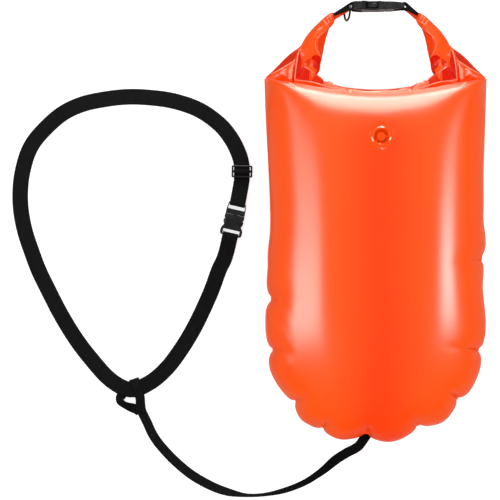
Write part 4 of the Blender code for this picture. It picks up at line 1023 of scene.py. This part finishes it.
# Creases: the points they run through and how sharp they are
FOLD_CREASES = (
    (("cuff_out", "cuff_a", "cuff_b", "cuff_in"), 0.8), (("cuff_b", "c1", "c2", "c3", "c4", "in_5"), 0.7),
    (("cuff_a", "m1", "m2", "m3", "m4", "m5"), 0.0), (("corner", "l2", "l1", "f1", "d1", "notch_out"), 0.9),
    (("e1", "e2", "e3"), 1.0), (("d1", "d2", "d3"), 1.0), (("e1", "g1", "g2", "g3"), 0.8),
    (("e2", "g4"), 0.6), (("g1", "m4"), 0.3), (("r1", "r2", "r3", "notch_in"), 0.7),
    (("r3", "r4", "in_2"), 0.3), (("p1", "p2", "c4"), 0.6), (("p1", "q4", "q3"), 0.4),
    (("f1", "f2", "f3"), 1.0), (("w1", "w4"), 1.0), (("w2", "w3", "w4"), 1.0), (("l3", "w2", "w1"), 0.8),
    (("l4", "k1", "k2"), 0.8), (("b1", "b2", "b3"), 0.5), (("m5", "r1", "g4"), 0.3), (("u1", "u2"), 0.4),
    (("v1", "v2"), 0.6), (("t_a", "t_b", "cuff_a"), 0.4), (("v3", "v4"), 0.6), (("u3", "cuff_b"), 0.3),
    (("l2", "l3"), 0.6), (("w2", "l1"), 0.6),
)
print("neck and arm:", len(FOLD_EDGE) + len(FOLD_POINTS), "points,", len(FOLD_CREASES), "creases")

# %% [markdown]
# Where more layers of film lie over one another the colour is deeper, and shade is painted into the
# pockets and folds that face away from the light. Facets that catch the lamps are painted pale, as
# painted highlights.

# %% Painted shade and painted light on the folds
# How deep (layered film and painted shade) or how much painted light, and the corners of the place
LAYERED_AND_SHADED_PLACES = (
    (0.8, ("corner", "l2", "l1", "f1", "d1", "notch_out", "neck_1", "neck_2", "neck_3", "neck_4", "neck_5")),
    (0.9, ("e1", "g1", "g2", "g3", "r1", "b2", "b1", "e2")), (0.7, ("r1", "r2", "b2")),
    (1.0, ("p1", "p2", "c4", "in_5", "in_4", "notch_in", "r3", "q3", "q4", "q1")),
    (0.7, ("s1", "m5", "p1", "s2", "r1")), (0.4, ("c1", "c2", "c3", "c4", "in_6", "in_7", "in_8", "cuff_in")),
    (0.8, ("b2", "r3", "r4", "in_1", "b3")), (1.0, ("d1", "e1", "e2", "e3", "d3", "d2")),
)
PAINTED_LIGHT_PLACES = (
    (0.75, ("w1", "f1", "f2", "w4")), (0.6, ("l1", "w2", "w3", "l3")),
)


def inside_polygon(place, corners):
    """Whether a place on the plan lies inside a polygon."""
    inside = False
    for (ax, ay), (bx, by) in zip(corners, corners[1:] + corners[:1]):
        if (ay > place[1]) != (by > place[1]) and place[0] < (bx - ax) * (place[1] - ay) / (by - ay) + ax:
            inside = not inside
    return inside


print(len(LAYERED_AND_SHADED_PLACES), "deep places,", len(PAINTED_LIGHT_PLACES), "worn places")

# %% [markdown]
# The creases are joined up into facets on the plan. Each facet is lifted over the seam and
# mirrored below it, which closes the film underneath. Subdivision then rounds everything but the
# creases.

# %% Folded neck and arms
FOLD_LEVELS = 3
# The height of a place where two creases cross, and how sharp the edge at the seam is
CROSSING_HEIGHT = 0.010
RIM_CREASE = 0.95

fold_places = {key: (x / 1000, y / 1000, 0.0) for key, (x, y) in FOLD_EDGE.items()}
fold_places |= {key: (x / 1000, y / 1000, z / 1000) for key, (x, y, z) in FOLD_POINTS.items()}
fold_sharpness = {frozenset(pair): sharp for run, sharp in FOLD_CREASES for pair in zip(run, run[1:])}


def fold_plan():
    """The creases joined up into facets: the points of the plan, their names and the facets."""
    keys = list(fold_places)
    rim = list(FOLD_EDGE)
    pairs = list(zip(rim, rim[1:] + rim[:1])) + [p for run, _ in FOLD_CREASES for p in zip(run, run[1:])]
    lines = [(keys.index(a), keys.index(b)) for a, b in pairs]
    plan = [Vector(fold_places[key][:2]) for key in keys]
    points, _, facets, origins, _, _ = delaunay_2d_cdt(plan, lines, [], 1, WELD)
    return points, [keys[o[0]] if o else None for o in origins], facets


def folded_film(name, side, nodes):
    """One side's arm and neck, from the plan's facets."""
    points, names, facets = fold_plan()
    bm = bmesh.new()
    crease = bm.edges.layers.float.new("crease_edge")
    looks = ((bm.faces.layers.float.new("deep"), LAYERED_AND_SHADED_PLACES),
             (bm.faces.layers.float.new("painted_light"), PAINTED_LIGHT_PLACES))
    corners, key_of = {}, []
    for up in (1, -1):
        for i, (place, key) in enumerate(zip(points, names)):
            if up < 0 and key in FOLD_EDGE:
                corners[up, i] = corners[1, i]
                continue
            height = fold_places[key][2] if key else CROSSING_HEIGHT
            corners[up, i] = bm.verts.new((place.x * -side, place.y, SEAM_HEIGHT + up * height))
            key_of.append(key)
        for facet in facets:
            face = bm.faces.new([corners[up, i] for i in facet])
            middle = sum((points[i] for i in facet), Vector((0, 0))) / len(facet)
            for look, shares in looks:
                for amount, outline in shares:
                    if inside_polygon(middle, [fold_places[key][:2] for key in outline]):
                        face[look] = amount
    bm.verts.index_update()
    for edge in bm.edges:
        ends = frozenset(key_of[v.index] for v in edge.verts)
        at_seam = all(abs(v.co.z - SEAM_HEIGHT) < WELD for v in edge.verts)
        edge[crease] = RIM_CREASE if at_seam else fold_sharpness.get(ends, 0.0)
    bmesh.ops.recalc_face_normals(bm, faces=bm.faces)
    made = piece_from(bm, name, fold_film)
    rounding = made.modifiers.new("rounding", "SUBSURF")
    rounding.levels = rounding.render_levels = FOLD_LEVELS
    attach(made, "bag")
    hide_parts(*nodes)
    print(f"{name}: {len(facets)} facets on each face")
    return made


arms = {
    -1: folded_film("left_arm_film", -1, ("left_neck_fold", "left_collar_arm")),
    1: folded_film("right_arm_film", 1, ("right_neck_fold", "right_collar_arm")),
}

# %% [markdown]
# The film is stiff, so every fold ends in a narrow rounded edge, painted pale as a painted highlight.
# Where one layer tucks under another, a thin strip painted in the deep colour stands for the shadow
# line. These edges are laid along the folds on top of the film, front and back, and so is the weld
# along the mouth of the bag.

# %% Lines of the fold edges and welds
# Each line: width in mm, how much painted light, how deep as painted shade, and the points it runs through in
# mm
FOLD_EDGES = (
    (2.2, 0.75, 0.0, ((-166.3, 227.6), (-155.7, 231.2), (-144.1, 237.4), (-133.4, 243.6),
        (-125.4, 249.4))),
    (3.2, 0.75, 0.0, ((-118.5, 265.0), (-120.5, 256.1), (-122.7, 243.6), (-124.5, 229.4),
        (-125.8, 217.4))),
    (1.6, 0.45, 0.0, ((-72.9, 298.4), (-79.1, 293.5), (-85.4, 288.1), (-91.6, 282.3))),
    (1.2, 0.35, 0.0, ((-91.6, 281.9), (-94.3, 275.7), (-92.5, 266.8), (-88.0, 259.7), (-84.5, 253.4))),
    (2.2, 0.6, 0.0, ((-82.2, 313.4), (-78.2, 307.7), (-72.5, 299.4))),
    (2.0, 0.45, 0.0, ((-111.2, 239.6), (-104.0, 235.2), (-96.9, 230.7), (-91.6, 228.0))),
    (1.2, 0.4, 0.0, ((-161.8, 231.6), (-150.8, 242.3), (-138.2, 254.5), (-129.5, 261.2), (-121.0, 266.3))),
    (1.6, 0.35, 0.0, ((-97.8, 232.9), (-99.0, 227.5), (-96.9, 222.3))),
    (1.8, 0.8, 0.0, ((-72.0, 320.6), (-70.4, 316.0), (-68.1, 311.9))),
    (1.8, 0.7, 0.0, ((-76.2, 317.2), (-74.2, 312.5), (-71.7, 307.0))),
    (1.6, 0.8, 0.0, ((-65.8, 322.4), (-65.0, 318.5), (-64.2, 314.3))),
    (1.2, 0.0, 1.0, ((-153.0, 229.0), (-147.6, 226.7), (-142.3, 223.2), (-136.1, 219.6), (-129.9, 215.2))),
    (1.4, 0.0, 1.0, ((-125.9, 248.0), (-127.2, 240.0), (-128.4, 230.0), (-129.2, 219.0))),
    (1.0, 0.0, 1.0, ((-122.0, 213.4), (-104.0, 210.6), (-84.0, 206.8), (-76.0, 205.0))),
)
# Lines along the mouth and on the roll: pale ones are painted highlights, deep ones painted shadow in the
# slits
MOUTH_EDGES = (
    (2.6, 0.8, 0.0, ((-125.4, 218.7), (-101.5, 216.1), (-86.0, 212.0), (-75.5, 208.0), (-58.1, 201.5),
        (-48.1, 197.9), (-36.4, 199.2), (-8.5, 196.5), (11.6, 197.6), (45.7, 201.3), (52.0, 199.0),
        (59.7, 203.4), (75.5, 208.0), (86.0, 212.0), (101.5, 216.1), (125.4, 218.7))),
    (2.8, 0.9, 0.0, ((-60.0, 207.4), (-51.5, 200.4), (-44.6, 192.6))),
    (2.4, 0.9, 0.0, ((-32.4, 204.6), (-38.4, 200.0), (-44.0, 193.0))),
    (1.3, 0.0, 0.9, ((-53.0, 204.0), (-47.4, 199.0), (-44.6, 195.4))),
    (3.2, 1.0, 0.0, ((-135.0, 211.4), (-130.2, 207.8), (-124.6, 203.4))),
    (3.0, 1.0, 0.0, ((136.4, 212.8), (131.0, 208.6), (125.8, 204.2))),
    (2.0, 0.5, 0.0, ((-30.0, 199.4), (-17.0, 199.6), (-7.3, 199.4), (5.1, 199.6), (17.4, 200.4),
        (32.0, 201.0))),
    (2.4, 0.9, 0.0, ((38.4, 206.6), (45.5, 201.6), (51.4, 194.6))),
    (2.6, 0.9, 0.0, ((64.2, 209.8), (57.0, 203.0), (52.2, 194.8))),
    (1.3, 0.0, 0.9, ((57.4, 206.0), (54.0, 201.0), (52.0, 197.4))),
    (8.5, 0.3, 0.0, ((-79.0, 213.0), (-71.6, 211.4), (-66.5, 207.6))),
    (6.5, 0.45, 0.0, ((-69.0, 211.5), (-64.3, 208.4), (-59.5, 204.5))),
    (8.5, 0.3, 0.0, ((82.0, 215.0), (75.5, 213.4), (69.5, 209.6))),
    (6.5, 0.45, 0.0, ((71.5, 213.5), (65.6, 210.2), (60.5, 205.6))),
    (2.2, 0.0, 1.0, ((-30.0, 202.2), (-22.0, 202.6), (-13.0, 201.8), (-5.0, 201.2))),
    (2.4, 0.0, 1.0, ((18.6, 201.8), (27.0, 203.0), (36.6, 204.4))),
)
print(len(FOLD_EDGES), "fold edges on each side,", len(MOUTH_EDGES), "edges along the mouth")

# %% [markdown]
# To lay an edge on the film, a ray is sent down on it at each point of the line. The edge's section
# is a flat oval that thins out to both ends.

# %% Lay an edge on the film
EDGE_STEPS = 7
EDGE_SIDES = 10
EDGE_FLATNESS = 0.55
EDGE_END = 0.15
EDGE_EASE = 3
PROBE_FROM = 0.3


def film_under(pieces):
    """A way to find the outermost film over or under a place on the plan."""
    graph = bpy.context.evaluated_depsgraph_get()
    trees = [BVHTree.FromObject(piece, graph) for piece in pieces]

    def find(x, y, up):
        start, down = Vector((x, y, SEAM_HEIGHT + up * PROBE_FROM)), Vector((0, 0, -up))
        hits = [hit for hit in (tree.ray_cast(start, down) for tree in trees) if hit[0]]
        if not hits:
            return None
        return max(((*hit[0], *hit[1]) for hit in hits), key=lambda h: h[2] * up)
    return find


def laid_edge(find, line, width, up, level):
    """Rings of a narrow rounded edge laid along a line; a level one faces straight up."""
    run = smooth_run(np.array(line) / 1000, EDGE_STEPS)
    found = np.array([f for f in (find(x, y, up) for x, y in run) if f])
    if level:
        # A weld between two pieces stands on the higher of them
        heights = found[:, 2] * up
        beside = [heights[max(i - EDGE_EASE, 0):i + EDGE_EASE + 1] for i in range(len(found))]
        found[:, 2] = up * np.array([high.max() for high in beside])
    for _ in range(EDGE_EASE):
        found[1:-1] = (found[:-2] + found[1:-1] * 2 + found[2:]) / 4
    places, normals = found[:, :3], found[:, 3:]
    if level:
        normals = np.tile((0.0, 0.0, up), (len(places), 1))
    turn = 2 * np.pi * np.arange(EDGE_SIDES) / EDGE_SIDES
    rings = []
    for i, place in enumerate(places):
        ahead = unit(ahead_at(places, i))
        side = unit(np.cross(ahead, normals[i]))
        rise = np.cross(side, ahead)
        size = width / 2000 * max(EDGE_END, math.sin(math.pi * (i + 0.5) / len(places))) ** 0.5
        across = side * (np.cos(turn) * size)[:, None]
        rings.append(place + across + rise * (np.sin(turn) * size * EDGE_FLATNESS)[:, None])
    return rings


# %% [markdown]
# All the edges of a side are one piece, and so are those along the mouth. Each face keeps how much
# painted light and how deep a painted shade its own edge has.


# %% Fold edges and mouth weld
def laid_edges(name, edges, find, mirror, finish, level=False):
    """All the edges of a table as one piece, on the front and on the back."""
    joined = bmesh.new()
    marks = {"painted_light": [], "deep": []}
    for width, painted_light, deep, line in edges:
        line = [(x * mirror, y) for x, y in line]
        for up in (1, -1):
            bm = skin_over(laid_edge(find, line, width, up, level))
            part = bpy.data.meshes.new("part")
            bm.to_mesh(part)
            bm.free()
            joined.from_mesh(part)
            marks["painted_light"] += [painted_light] * len(part.polygons)
            marks["deep"] += [deep] * len(part.polygons)
            bpy.data.meshes.remove(part)
    made = piece_from(joined, name, finish)
    for label, values in marks.items():
        mark(made, label, values, "FACE")
    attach(made, "bag")
    print(f"{name}: {len(edges)} edges, {len(made.data.polygons)} faces")


for side, name in ((-1, "left_fold_edges"), (1, "right_fold_edges")):
    laid_edges(name, FOLD_EDGES, film_under([arms[side]]), -side, fold_film)
all_film = film_under([front_skin, back_skin, collar, *arms.values()])
laid_edges("mouth_weld", MOUTH_EDGES, all_film, 1, roll_film_painted_light, level=True)

# %% [markdown]
# ## Dry compartment
#
# Between the chambers lie the two flat films of the dry compartment, welded into the same seam.
# Their edge is the thin rim that shows between the lobes.

# %% Liner films
RIM = 0.0008
LINER_HALF = 0.0010
RIM_HALF = 0.0006
LINER_CENTRE = (0.0, SPINE_FOOT + 0.1)

outward = seam - LINER_CENTRE
outward /= np.linalg.norm(outward, axis=1)[:, None]
rim_line = seam + outward * RIM
liner_lines = ((seam, -LINER_HALF), (rim_line, -RIM_HALF), (rim_line, RIM_HALF), (seam, LINER_HALF))
rings = [np.column_stack([line, np.full(len(line), SEAM_HEIGHT + z)]) for line, z in liner_lines]
liner = piece_from(skin_over(rings), "dry_compartment_film", film, sharp=THIN_HARD)
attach(liner, "bag")
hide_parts("front_liner_film", "back_liner_film")
print("liner:", len(liner.data.polygons), "faces")

# %% [markdown]
# ## Handle and belt webbing
#
# Short lengths of webbing fold round the buckles' bars. Their routes run out, round the bar and
# back. Where a bar lies in its buckle is known as shares of the webbing's width, as buckles are
# sold by that width.

# %% Turn webbing round a bar
HANDLE_WEBBING = 0.038
CLEARANCE = 0.0003
WRAP_STEP = math.radians(36)
WRAP_POINTS = 6
BAR_SHARE = 0.11
SOCKET_SLOT_SHARES = (0.11, 0.39)
PLUG_SLOT_SHARES = (1.70, 2.01)
BUCKLE_SHARE = 2.12
BUCKLE_THICKNESS_SHARE = 0.38
# Steps between two points of a short fold
FOLD_STEPS = 4


def bar_centre(slot, bar_end, webbing):
    """How far along its buckle a bar lies, between its slot and the buckle's end."""
    return ((slot[1] if bar_end > slot[1] else slot[0]) + bar_end) / 2 * webbing


def wrap_radius(webbing):
    """The radius at which webbing clears the corners of a bar."""
    corner = math.hypot(BAR_SHARE, SOCKET_SLOT_SHARES[0]) * webbing / 2
    return (corner + CLEARANCE + WEBBING_THICKNESS / 2) / math.cos(WRAP_STEP / 2)


def turn_round(bar, along, up, radius):
    """Half a turn round a bar, from over it to under it."""
    angles = [math.pi / 2 - WRAP_STEP * k for k in range(WRAP_POINTS)]
    return [bar + along * (math.cos(a) * radius) + up * (math.sin(a) * radius) for a in angles]


print("belt webbing turns at", round(wrap_radius(BELT_WIDTH) * 1000, 2), "mm")

# %% [markdown]
# A handle tab starts at the tip of its arm and runs round the bar of its buckle and back. The wedge
# between its two legs is filled with folded webbing, sewn in, and the end of the roll's film lies
# as a tongue along its inside.

# %% Handle tabs
HANDLE_SOCKET_X = -0.0365
HANDLE_TOP = (BAG_LENGTH + HANDLE_RISE) / 2
HANDLE_CENTRE = np.array((HANDLE_SOCKET_X, HANDLE_TOP - HANDLE_WEBBING * BUCKLE_THICKNESS_SHARE / 2,
                          SEAM_HEIGHT))
CORE_SHARE = 0.88
CORE_RINGS = 7
CORE_HEIGHT = HANDLE_WEBBING / 2 * 0.96
# How far the filling reaches into the webbing on either side
CORE_BITE = 0.4
CORE_WAY = (0, 0.25, 0.5, 0.75, 1)
CORE_SIDE = (0.9, 0.5, 0, -0.5, -0.9)
CORE_SECTION = [(s, 1) for s in CORE_WAY] + [(1, z) for z in CORE_SIDE]
CORE_SECTION += [(1 - s, -z) for s, z in CORE_SECTION]
TONGUE_START = -0.08
TONGUE_SHARE = 0.8
TONGUE_RINGS = 9
TONGUE_WIDTH = 0.0050
TONGUE_THINS = 0.7
TONGUE_HEIGHTS = (0.95, 0.45)
TONGUE_DEEP = 0.6
TONGUE_SECTION = [(0, 0.9), (0, 0.4), (0, -0.4), (0, -0.9), (0.25, -1), (0.6, -0.9), (0.85, -0.6), (1, -0.2),
                  (1, 0.2), (0.85, 0.6), (0.6, 0.9), (0.25, 1)]


def tab_core(name, outer, upper, inner, lower, spread):
    """Folded webbing between a tab's two legs, from the arm's tip to near the bar."""
    bite = spread * WEBBING_THICKNESS * CORE_BITE
    rings, lay = [], []
    for t in np.linspace(0, CORE_SHARE, CORE_RINGS):
        top = outer + (upper - outer) * t - bite
        low = inner + (lower - inner) * t + bite
        rings.append([top + (low - top) * s + (0, 0, z * CORE_HEIGHT) for s, z in CORE_SECTION])
        lay.append([(np.linalg.norm(top - outer), z * CORE_HEIGHT, 0) for _, z in CORE_SECTION])
    return piece_from(skin_over(rings, lay), name, webbing_finish, sharp=THIN_HARD)


def tab_tongue(name, inner, lower, spread):
    """The end of the roll's film, along the inside of a tab."""
    rings = []
    for t in np.linspace(TONGUE_START, TONGUE_SHARE, TONGUE_RINGS):
        way = max(t, 0) / TONGUE_SHARE
        width = TONGUE_WIDTH * (1 - way * TONGUE_THINS)
        near = inner + (lower - inner) * t - spread * (WEBBING_THICKNESS / 2 + CLEARANCE)
        tall = CORE_HEIGHT * (TONGUE_HEIGHTS[0] + (TONGUE_HEIGHTS[1] - TONGUE_HEIGHTS[0]) * way)
        rings.append([near - spread * (width * s) + (0, 0, z * tall) for s, z in TONGUE_SECTION])
    made = piece_from(skin_over(rings), name, fold_film, sharp=THIN_HARD)
    mark(made, "deep", [TONGUE_DEEP] * len(made.data.polygons), "FACE")
    return made


def handle_tab(name, node, side, body):
    """One tab with its filling and its tongue of film."""
    slot, end = (SOCKET_SLOT_SHARES, 0.0) if side < 0 else (PLUG_SLOT_SHARES, BUCKLE_SHARE)
    bar = HANDLE_CENTRE + (bar_centre(slot, end, HANDLE_WEBBING), 0, 0)
    tip, before = (collar_places[0], collar_places[1]) if side < 0 else (collar_places[-1], collar_places[-2])
    ahead = unit(bar - tip)
    spread = np.array((-ahead[1], ahead[0], 0)) * -side
    start = tip - unit(before - tip) * (WEBBING_THICKNESS * 3 / 4)
    pinch = WEBBING_THICKNESS / 2 + CLEARANCE / 2
    turn = turn_round(bar, np.array((-side, 0, 0)), np.array((0, 1, 0)), wrap_radius(HANDLE_WEBBING))
    back_off = np.array((side * HANDLE_WEBBING * BAR_SHARE, 0, 0))
    outer, inner = start + spread * pinch, start - spread * pinch
    upper, lower = turn[0] + back_off, turn[-1] + back_off
    route = [outer, (outer + upper) / 2, upper, *turn, lower, (inner + lower) / 2, inner]
    made, _ = strap(name, route, [(0, 0, 1)] * len(route), HANDLE_WEBBING, FOLD_STEPS)
    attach(made, body)
    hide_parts(node)
    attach(tab_core(f"{name}_core", outer, upper, inner, lower, spread), body)
    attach(tab_tongue(f"{name}_film", inner, lower, spread), "bag")


handle_tab("left_handle_tab", "left_tab_webbing", -1, "bag")
handle_tab("right_handle_tab", "right_tab_webbing", 1, "handle_plug")

# %% [markdown]
# At the waist buckle the belt's end is sewn round the socket's bar. On the other side it folds
# round the plug's bar and back to the slider. The leash ends in a short tab in the seam at the foot.

# %% Folds of the belt, tab of the leash
WAIST_SOCKET = np.array((-0.2259, -0.0219, 0.0052))
WAIST_TURN = math.radians(-13)
UNDER, OVER = 0.00105, 0.0029
ADJUST_ROUTE = ((-0.2098, 0.0527), (-0.2080, 0.0635), (-0.2075, 0.0664), (-0.2075, 0.0682), (-0.2073, 0.0800),
                (-0.2071, 0.0835))
UPPER_POINTS = 4
LEASH_TAB = 0.024

waist_axes = Matrix.Rotation(WAIST_TURN, 3, "Z")
waist_ahead = np.array(waist_axes @ Vector((0, 1, 0)))
waist_side = np.array(waist_axes @ Vector((1, 0, 0)))
up_z = np.array((0, 0, 1.0))
belt_wrap = wrap_radius(BELT_WIDTH)

socket_bar = WAIST_SOCKET + waist_ahead * bar_centre(SOCKET_SLOT_SHARES, 0.0, BELT_WIDTH)
belt_points = np.array(BELT_ROUTE)
sewn = [belt_points[0] + unit(belt_points[0] - belt_points[1]) * CLEARANCE * 2,
        *turn_round(socket_bar, waist_ahead, up_z, belt_wrap),
        (*belt_points[1][:2], UNDER), (*belt_points[2][:2], UNDER)]
sewn_end, _ = strap("belt_sewn_fold", sewn, [waist_side] * len(sewn), BELT_WIDTH, FOLD_STEPS)
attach(sewn_end, "bag")
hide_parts("belt_sewn_end")

plug_bar = WAIST_SOCKET + waist_ahead * bar_centre(PLUG_SLOT_SHARES, BUCKLE_SHARE, BELT_WIDTH)
upper_leg = [(*p, OVER) for p in reversed(ADJUST_ROUTE[:UPPER_POINTS])]
lower_leg = [(*p, UNDER) for p in ADJUST_ROUTE]
fold_route = upper_leg + turn_round(plug_bar, -waist_ahead, up_z, belt_wrap) + lower_leg
fold_sides = [(1, 0, 0)] * len(upper_leg) + [waist_side] * WRAP_POINTS + [(1, 0, 0)] * len(lower_leg)
adjust, _ = strap("belt_adjusting_fold", fold_route, fold_sides, BELT_WIDTH, FOLD_STEPS)
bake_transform(adjust)
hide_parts("belt_adjust_fold")

leash_points = np.array(LEASH_ROUTE)
leash_lead = unit(leash_points[0] - leash_points[1])
tab_end = leash_points[0] - leash_lead * CLEARANCE * 2
tab_route = [tab_end + leash_lead * LEASH_TAB, tab_end]
leash_tab, _ = strap("leash_sewn_tab", tab_route, level_sides(tab_route), LEASH_WIDTH, 2)
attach(leash_tab, "bag")
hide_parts("leash_sewn_end")

# %% [markdown]
# ## Carried-over hardware
#
# The buckles, the ring, the slider and the valves already have their true shape in the CAD model.
# They only get their finish.

# %% Finishes on the CAD pieces
BLACK_PARTS = ("handle_buckle_socket", "handle_buckle_plug", "handle_prong_left", "handle_prong_right",
               "waist_buckle_socket", "waist_buckle_plug", "waist_prong_left", "waist_prong_right",
               "accessory_ring", "belt_slider")
VALVE_PARTS = ("flange", "stem", "plug", "tether", "flap")

carried_over = {name: moulded for name in BLACK_PARTS}
carried_over |= {f"{side}_valve_{part}": valve_vinyl for side in ("front", "back") for part in VALVE_PARTS}
for name, finish in carried_over.items():
    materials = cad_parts[name].data.materials
    materials.clear()
    materials.append(finish)
print(len(carried_over), "CAD pieces have their finish")

# %% [markdown]
# The valve's flange is welded to the film all round, and a thin soft cup joins it to the stem. The
# cup, the weld bead and the rounded lip of the well are turned like pots. Underneath, the floor
# keeps them from standing lower than the buoy lies.

# %% Weld bead, lip and cup of each valve
VALVE_SIDES = 72
BEAD_RADIUS = 0.0007
BEAD_SIDES = 12
BEAD_CENTRE = (0.0190, 0.0001)
WELD_BEAD = [(BEAD_CENTRE[0] + BEAD_RADIUS * math.cos(a), BEAD_CENTRE[1] + BEAD_RADIUS * math.sin(a))
             for a in np.linspace(0, 2 * math.pi, BEAD_SIDES, endpoint=False)]
WELL_LIP = [(0.0158, -0.0003), (0.0157, 0.0001), (0.0150, 0.0004), (0.0141, 0.0009), (0.0133, 0.0012),
            (0.0126, 0.0013), (0.0121, 0.0011), (0.0118, 0.0007), (0.0118, -0.0003)]
CUP_LINE = [(0.0118, -0.0006), (0.0113, -0.0026), (0.0102, -0.0040), (0.0090, -0.0046), (0.0083, -0.0056),
            (0.0081, -0.0080)]
CUP_WALL = 0.0004
CUP = CUP_LINE + [(radius - CUP_WALL, height - CUP_WALL) for radius, height in reversed(CUP_LINE)]
# The least height over the floor, where the back valve lies on it
FLOOR_ROOM = 0.0001


def turned(profile, top, up):
    """A closed profile of radius and height turned about the valve's middle."""
    turn = 2 * np.pi * np.arange(VALVE_SIDES) / VALVE_SIDES
    around = np.stack([np.cos(turn), np.sin(turn)], axis=1)
    rings = []
    for radius, height in [*profile, profile[0]]:
        level = max(top + up * height, FLOOR_ROOM)
        rings.append(np.column_stack([VALVE_CENTRE + around * radius, np.full(VALVE_SIDES, level)]))
    return skin_over(rings, capped=False)


for prefix, up in (("front", 1), ("back", -1)):
    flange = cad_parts[f"{prefix}_valve_flange"]
    heights = [(flange.matrix_world @ v.co).z for v in flange.data.vertices]
    top = max(heights) if up > 0 else min(heights)
    for label, profile in (("weld", WELD_BEAD), ("lip", WELL_LIP), ("cup", CUP)):
        skin = turned(profile, top, up)
        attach(piece_from(skin, f"{prefix}_valve_{label}", valve_vinyl), "bag")
    print(f"{prefix} valve: flange top at {top:.4f}")

# %% [markdown]
# ## Floor and light
#
# The floor is pale paper. It glows white to the camera and keeps a soft shadow. In the film's
# reflections it is plain paper, which keeps the rims from going dark or too white.

# %% White floor
FLOOR_HALF = 30
FLOOR_GLOW = 0.68
WHITE = (1, 1, 1, 1)

floor_bm = bmesh.new()
bmesh.ops.create_grid(floor_bm, x_segments=1, y_segments=1, size=FLOOR_HALF)
floor = placed(floor_bm, "floor")
floor_paint, tree, shader = new_finish("floor_paint", {
    "Base Color": (0.6, 0.6, 0.6, 1), "Roughness": 0.9, "Specular IOR Level": 0.1, "Emission Color": WHITE})
rays = tree.nodes.new("ShaderNodeLightPath")
seen = maths(tree, "ADD", rays.outputs["Is Camera Ray"], rays.outputs["Is Transmission Ray"], True)
tree.links.new(maths(tree, "MULTIPLY", seen, FLOOR_GLOW), shader.inputs["Emission Strength"])
floor.data.materials.append(floor_paint)
print("floor", 2 * FLOOR_HALF, "m wide")

# %% [markdown]
# Two softboxes stand left and right and draw the long highlights down the film. A wide one at the
# head lights the roll-off of the top edge. They show only as highlights. A ceiling of even light
# fills in the rest and shows in no reflection.

# %% Lamps and world
LAMP_COLOUR = (1.0, 0.985, 0.965)
# Each softbox: where it stands, where it looks, its size and its power
SOFTBOXES = {
    "left_softbox": ((-1.25, -0.22, 1.22), (0, -0.22, 0.1), (0.42, 1.25), 60.0),
    "right_softbox": ((1.25, -0.15, 1.15), (0, -0.15, 0.1), (0.30, 0.55), 33.0),
    "head_softbox": ((0.0, 1.3, 0.74), (0, 0.1, 0.1), (0.7, 1.55), 150.0),
    "ceiling": ((0, 0, 2), (0, 0.001, 0), (14.0, 14.0), 690.0),
}
AMBIENT = (0.12, 0.12, 0.12)


def softbox(name, place, target, size, power):
    """A rectangular lamp at a place, turned to a target."""
    lamp = bpy.data.lights.new(name, "AREA")
    lamp.shape = "RECTANGLE"
    lamp.size, lamp.size_y = size
    lamp.energy = power
    lamp.color = LAMP_COLOUR
    made = bpy.data.objects.new(name, lamp)
    made.location = place
    made.rotation_euler = (Vector(place) - Vector(target)).to_track_quat("Z", "Y").to_euler()
    made.visible_camera = False
    made.visible_diffuse = False
    bpy.context.scene.collection.objects.link(made)
    return made


lamps = {name: softbox(name, *values) for name, values in SOFTBOXES.items()}
ceiling = lamps["ceiling"]
ceiling.data.color = (1, 1, 1)
ceiling.visible_diffuse = True
ceiling.visible_glossy = False

world = bpy.data.worlds.new("studio")
world.use_nodes = True
bpy.context.scene.world = world
tree = world.node_tree
rays = tree.nodes.new("ShaderNodeLightPath")
background = mixed(tree, rays.outputs["Is Camera Ray"], AMBIENT, (1, 1, 1))
tree.links.new(background, tree.nodes["Background"].inputs["Color"])
bpy.context.scene.view_settings.view_transform = "Standard"
print(len(lamps), "lamps")
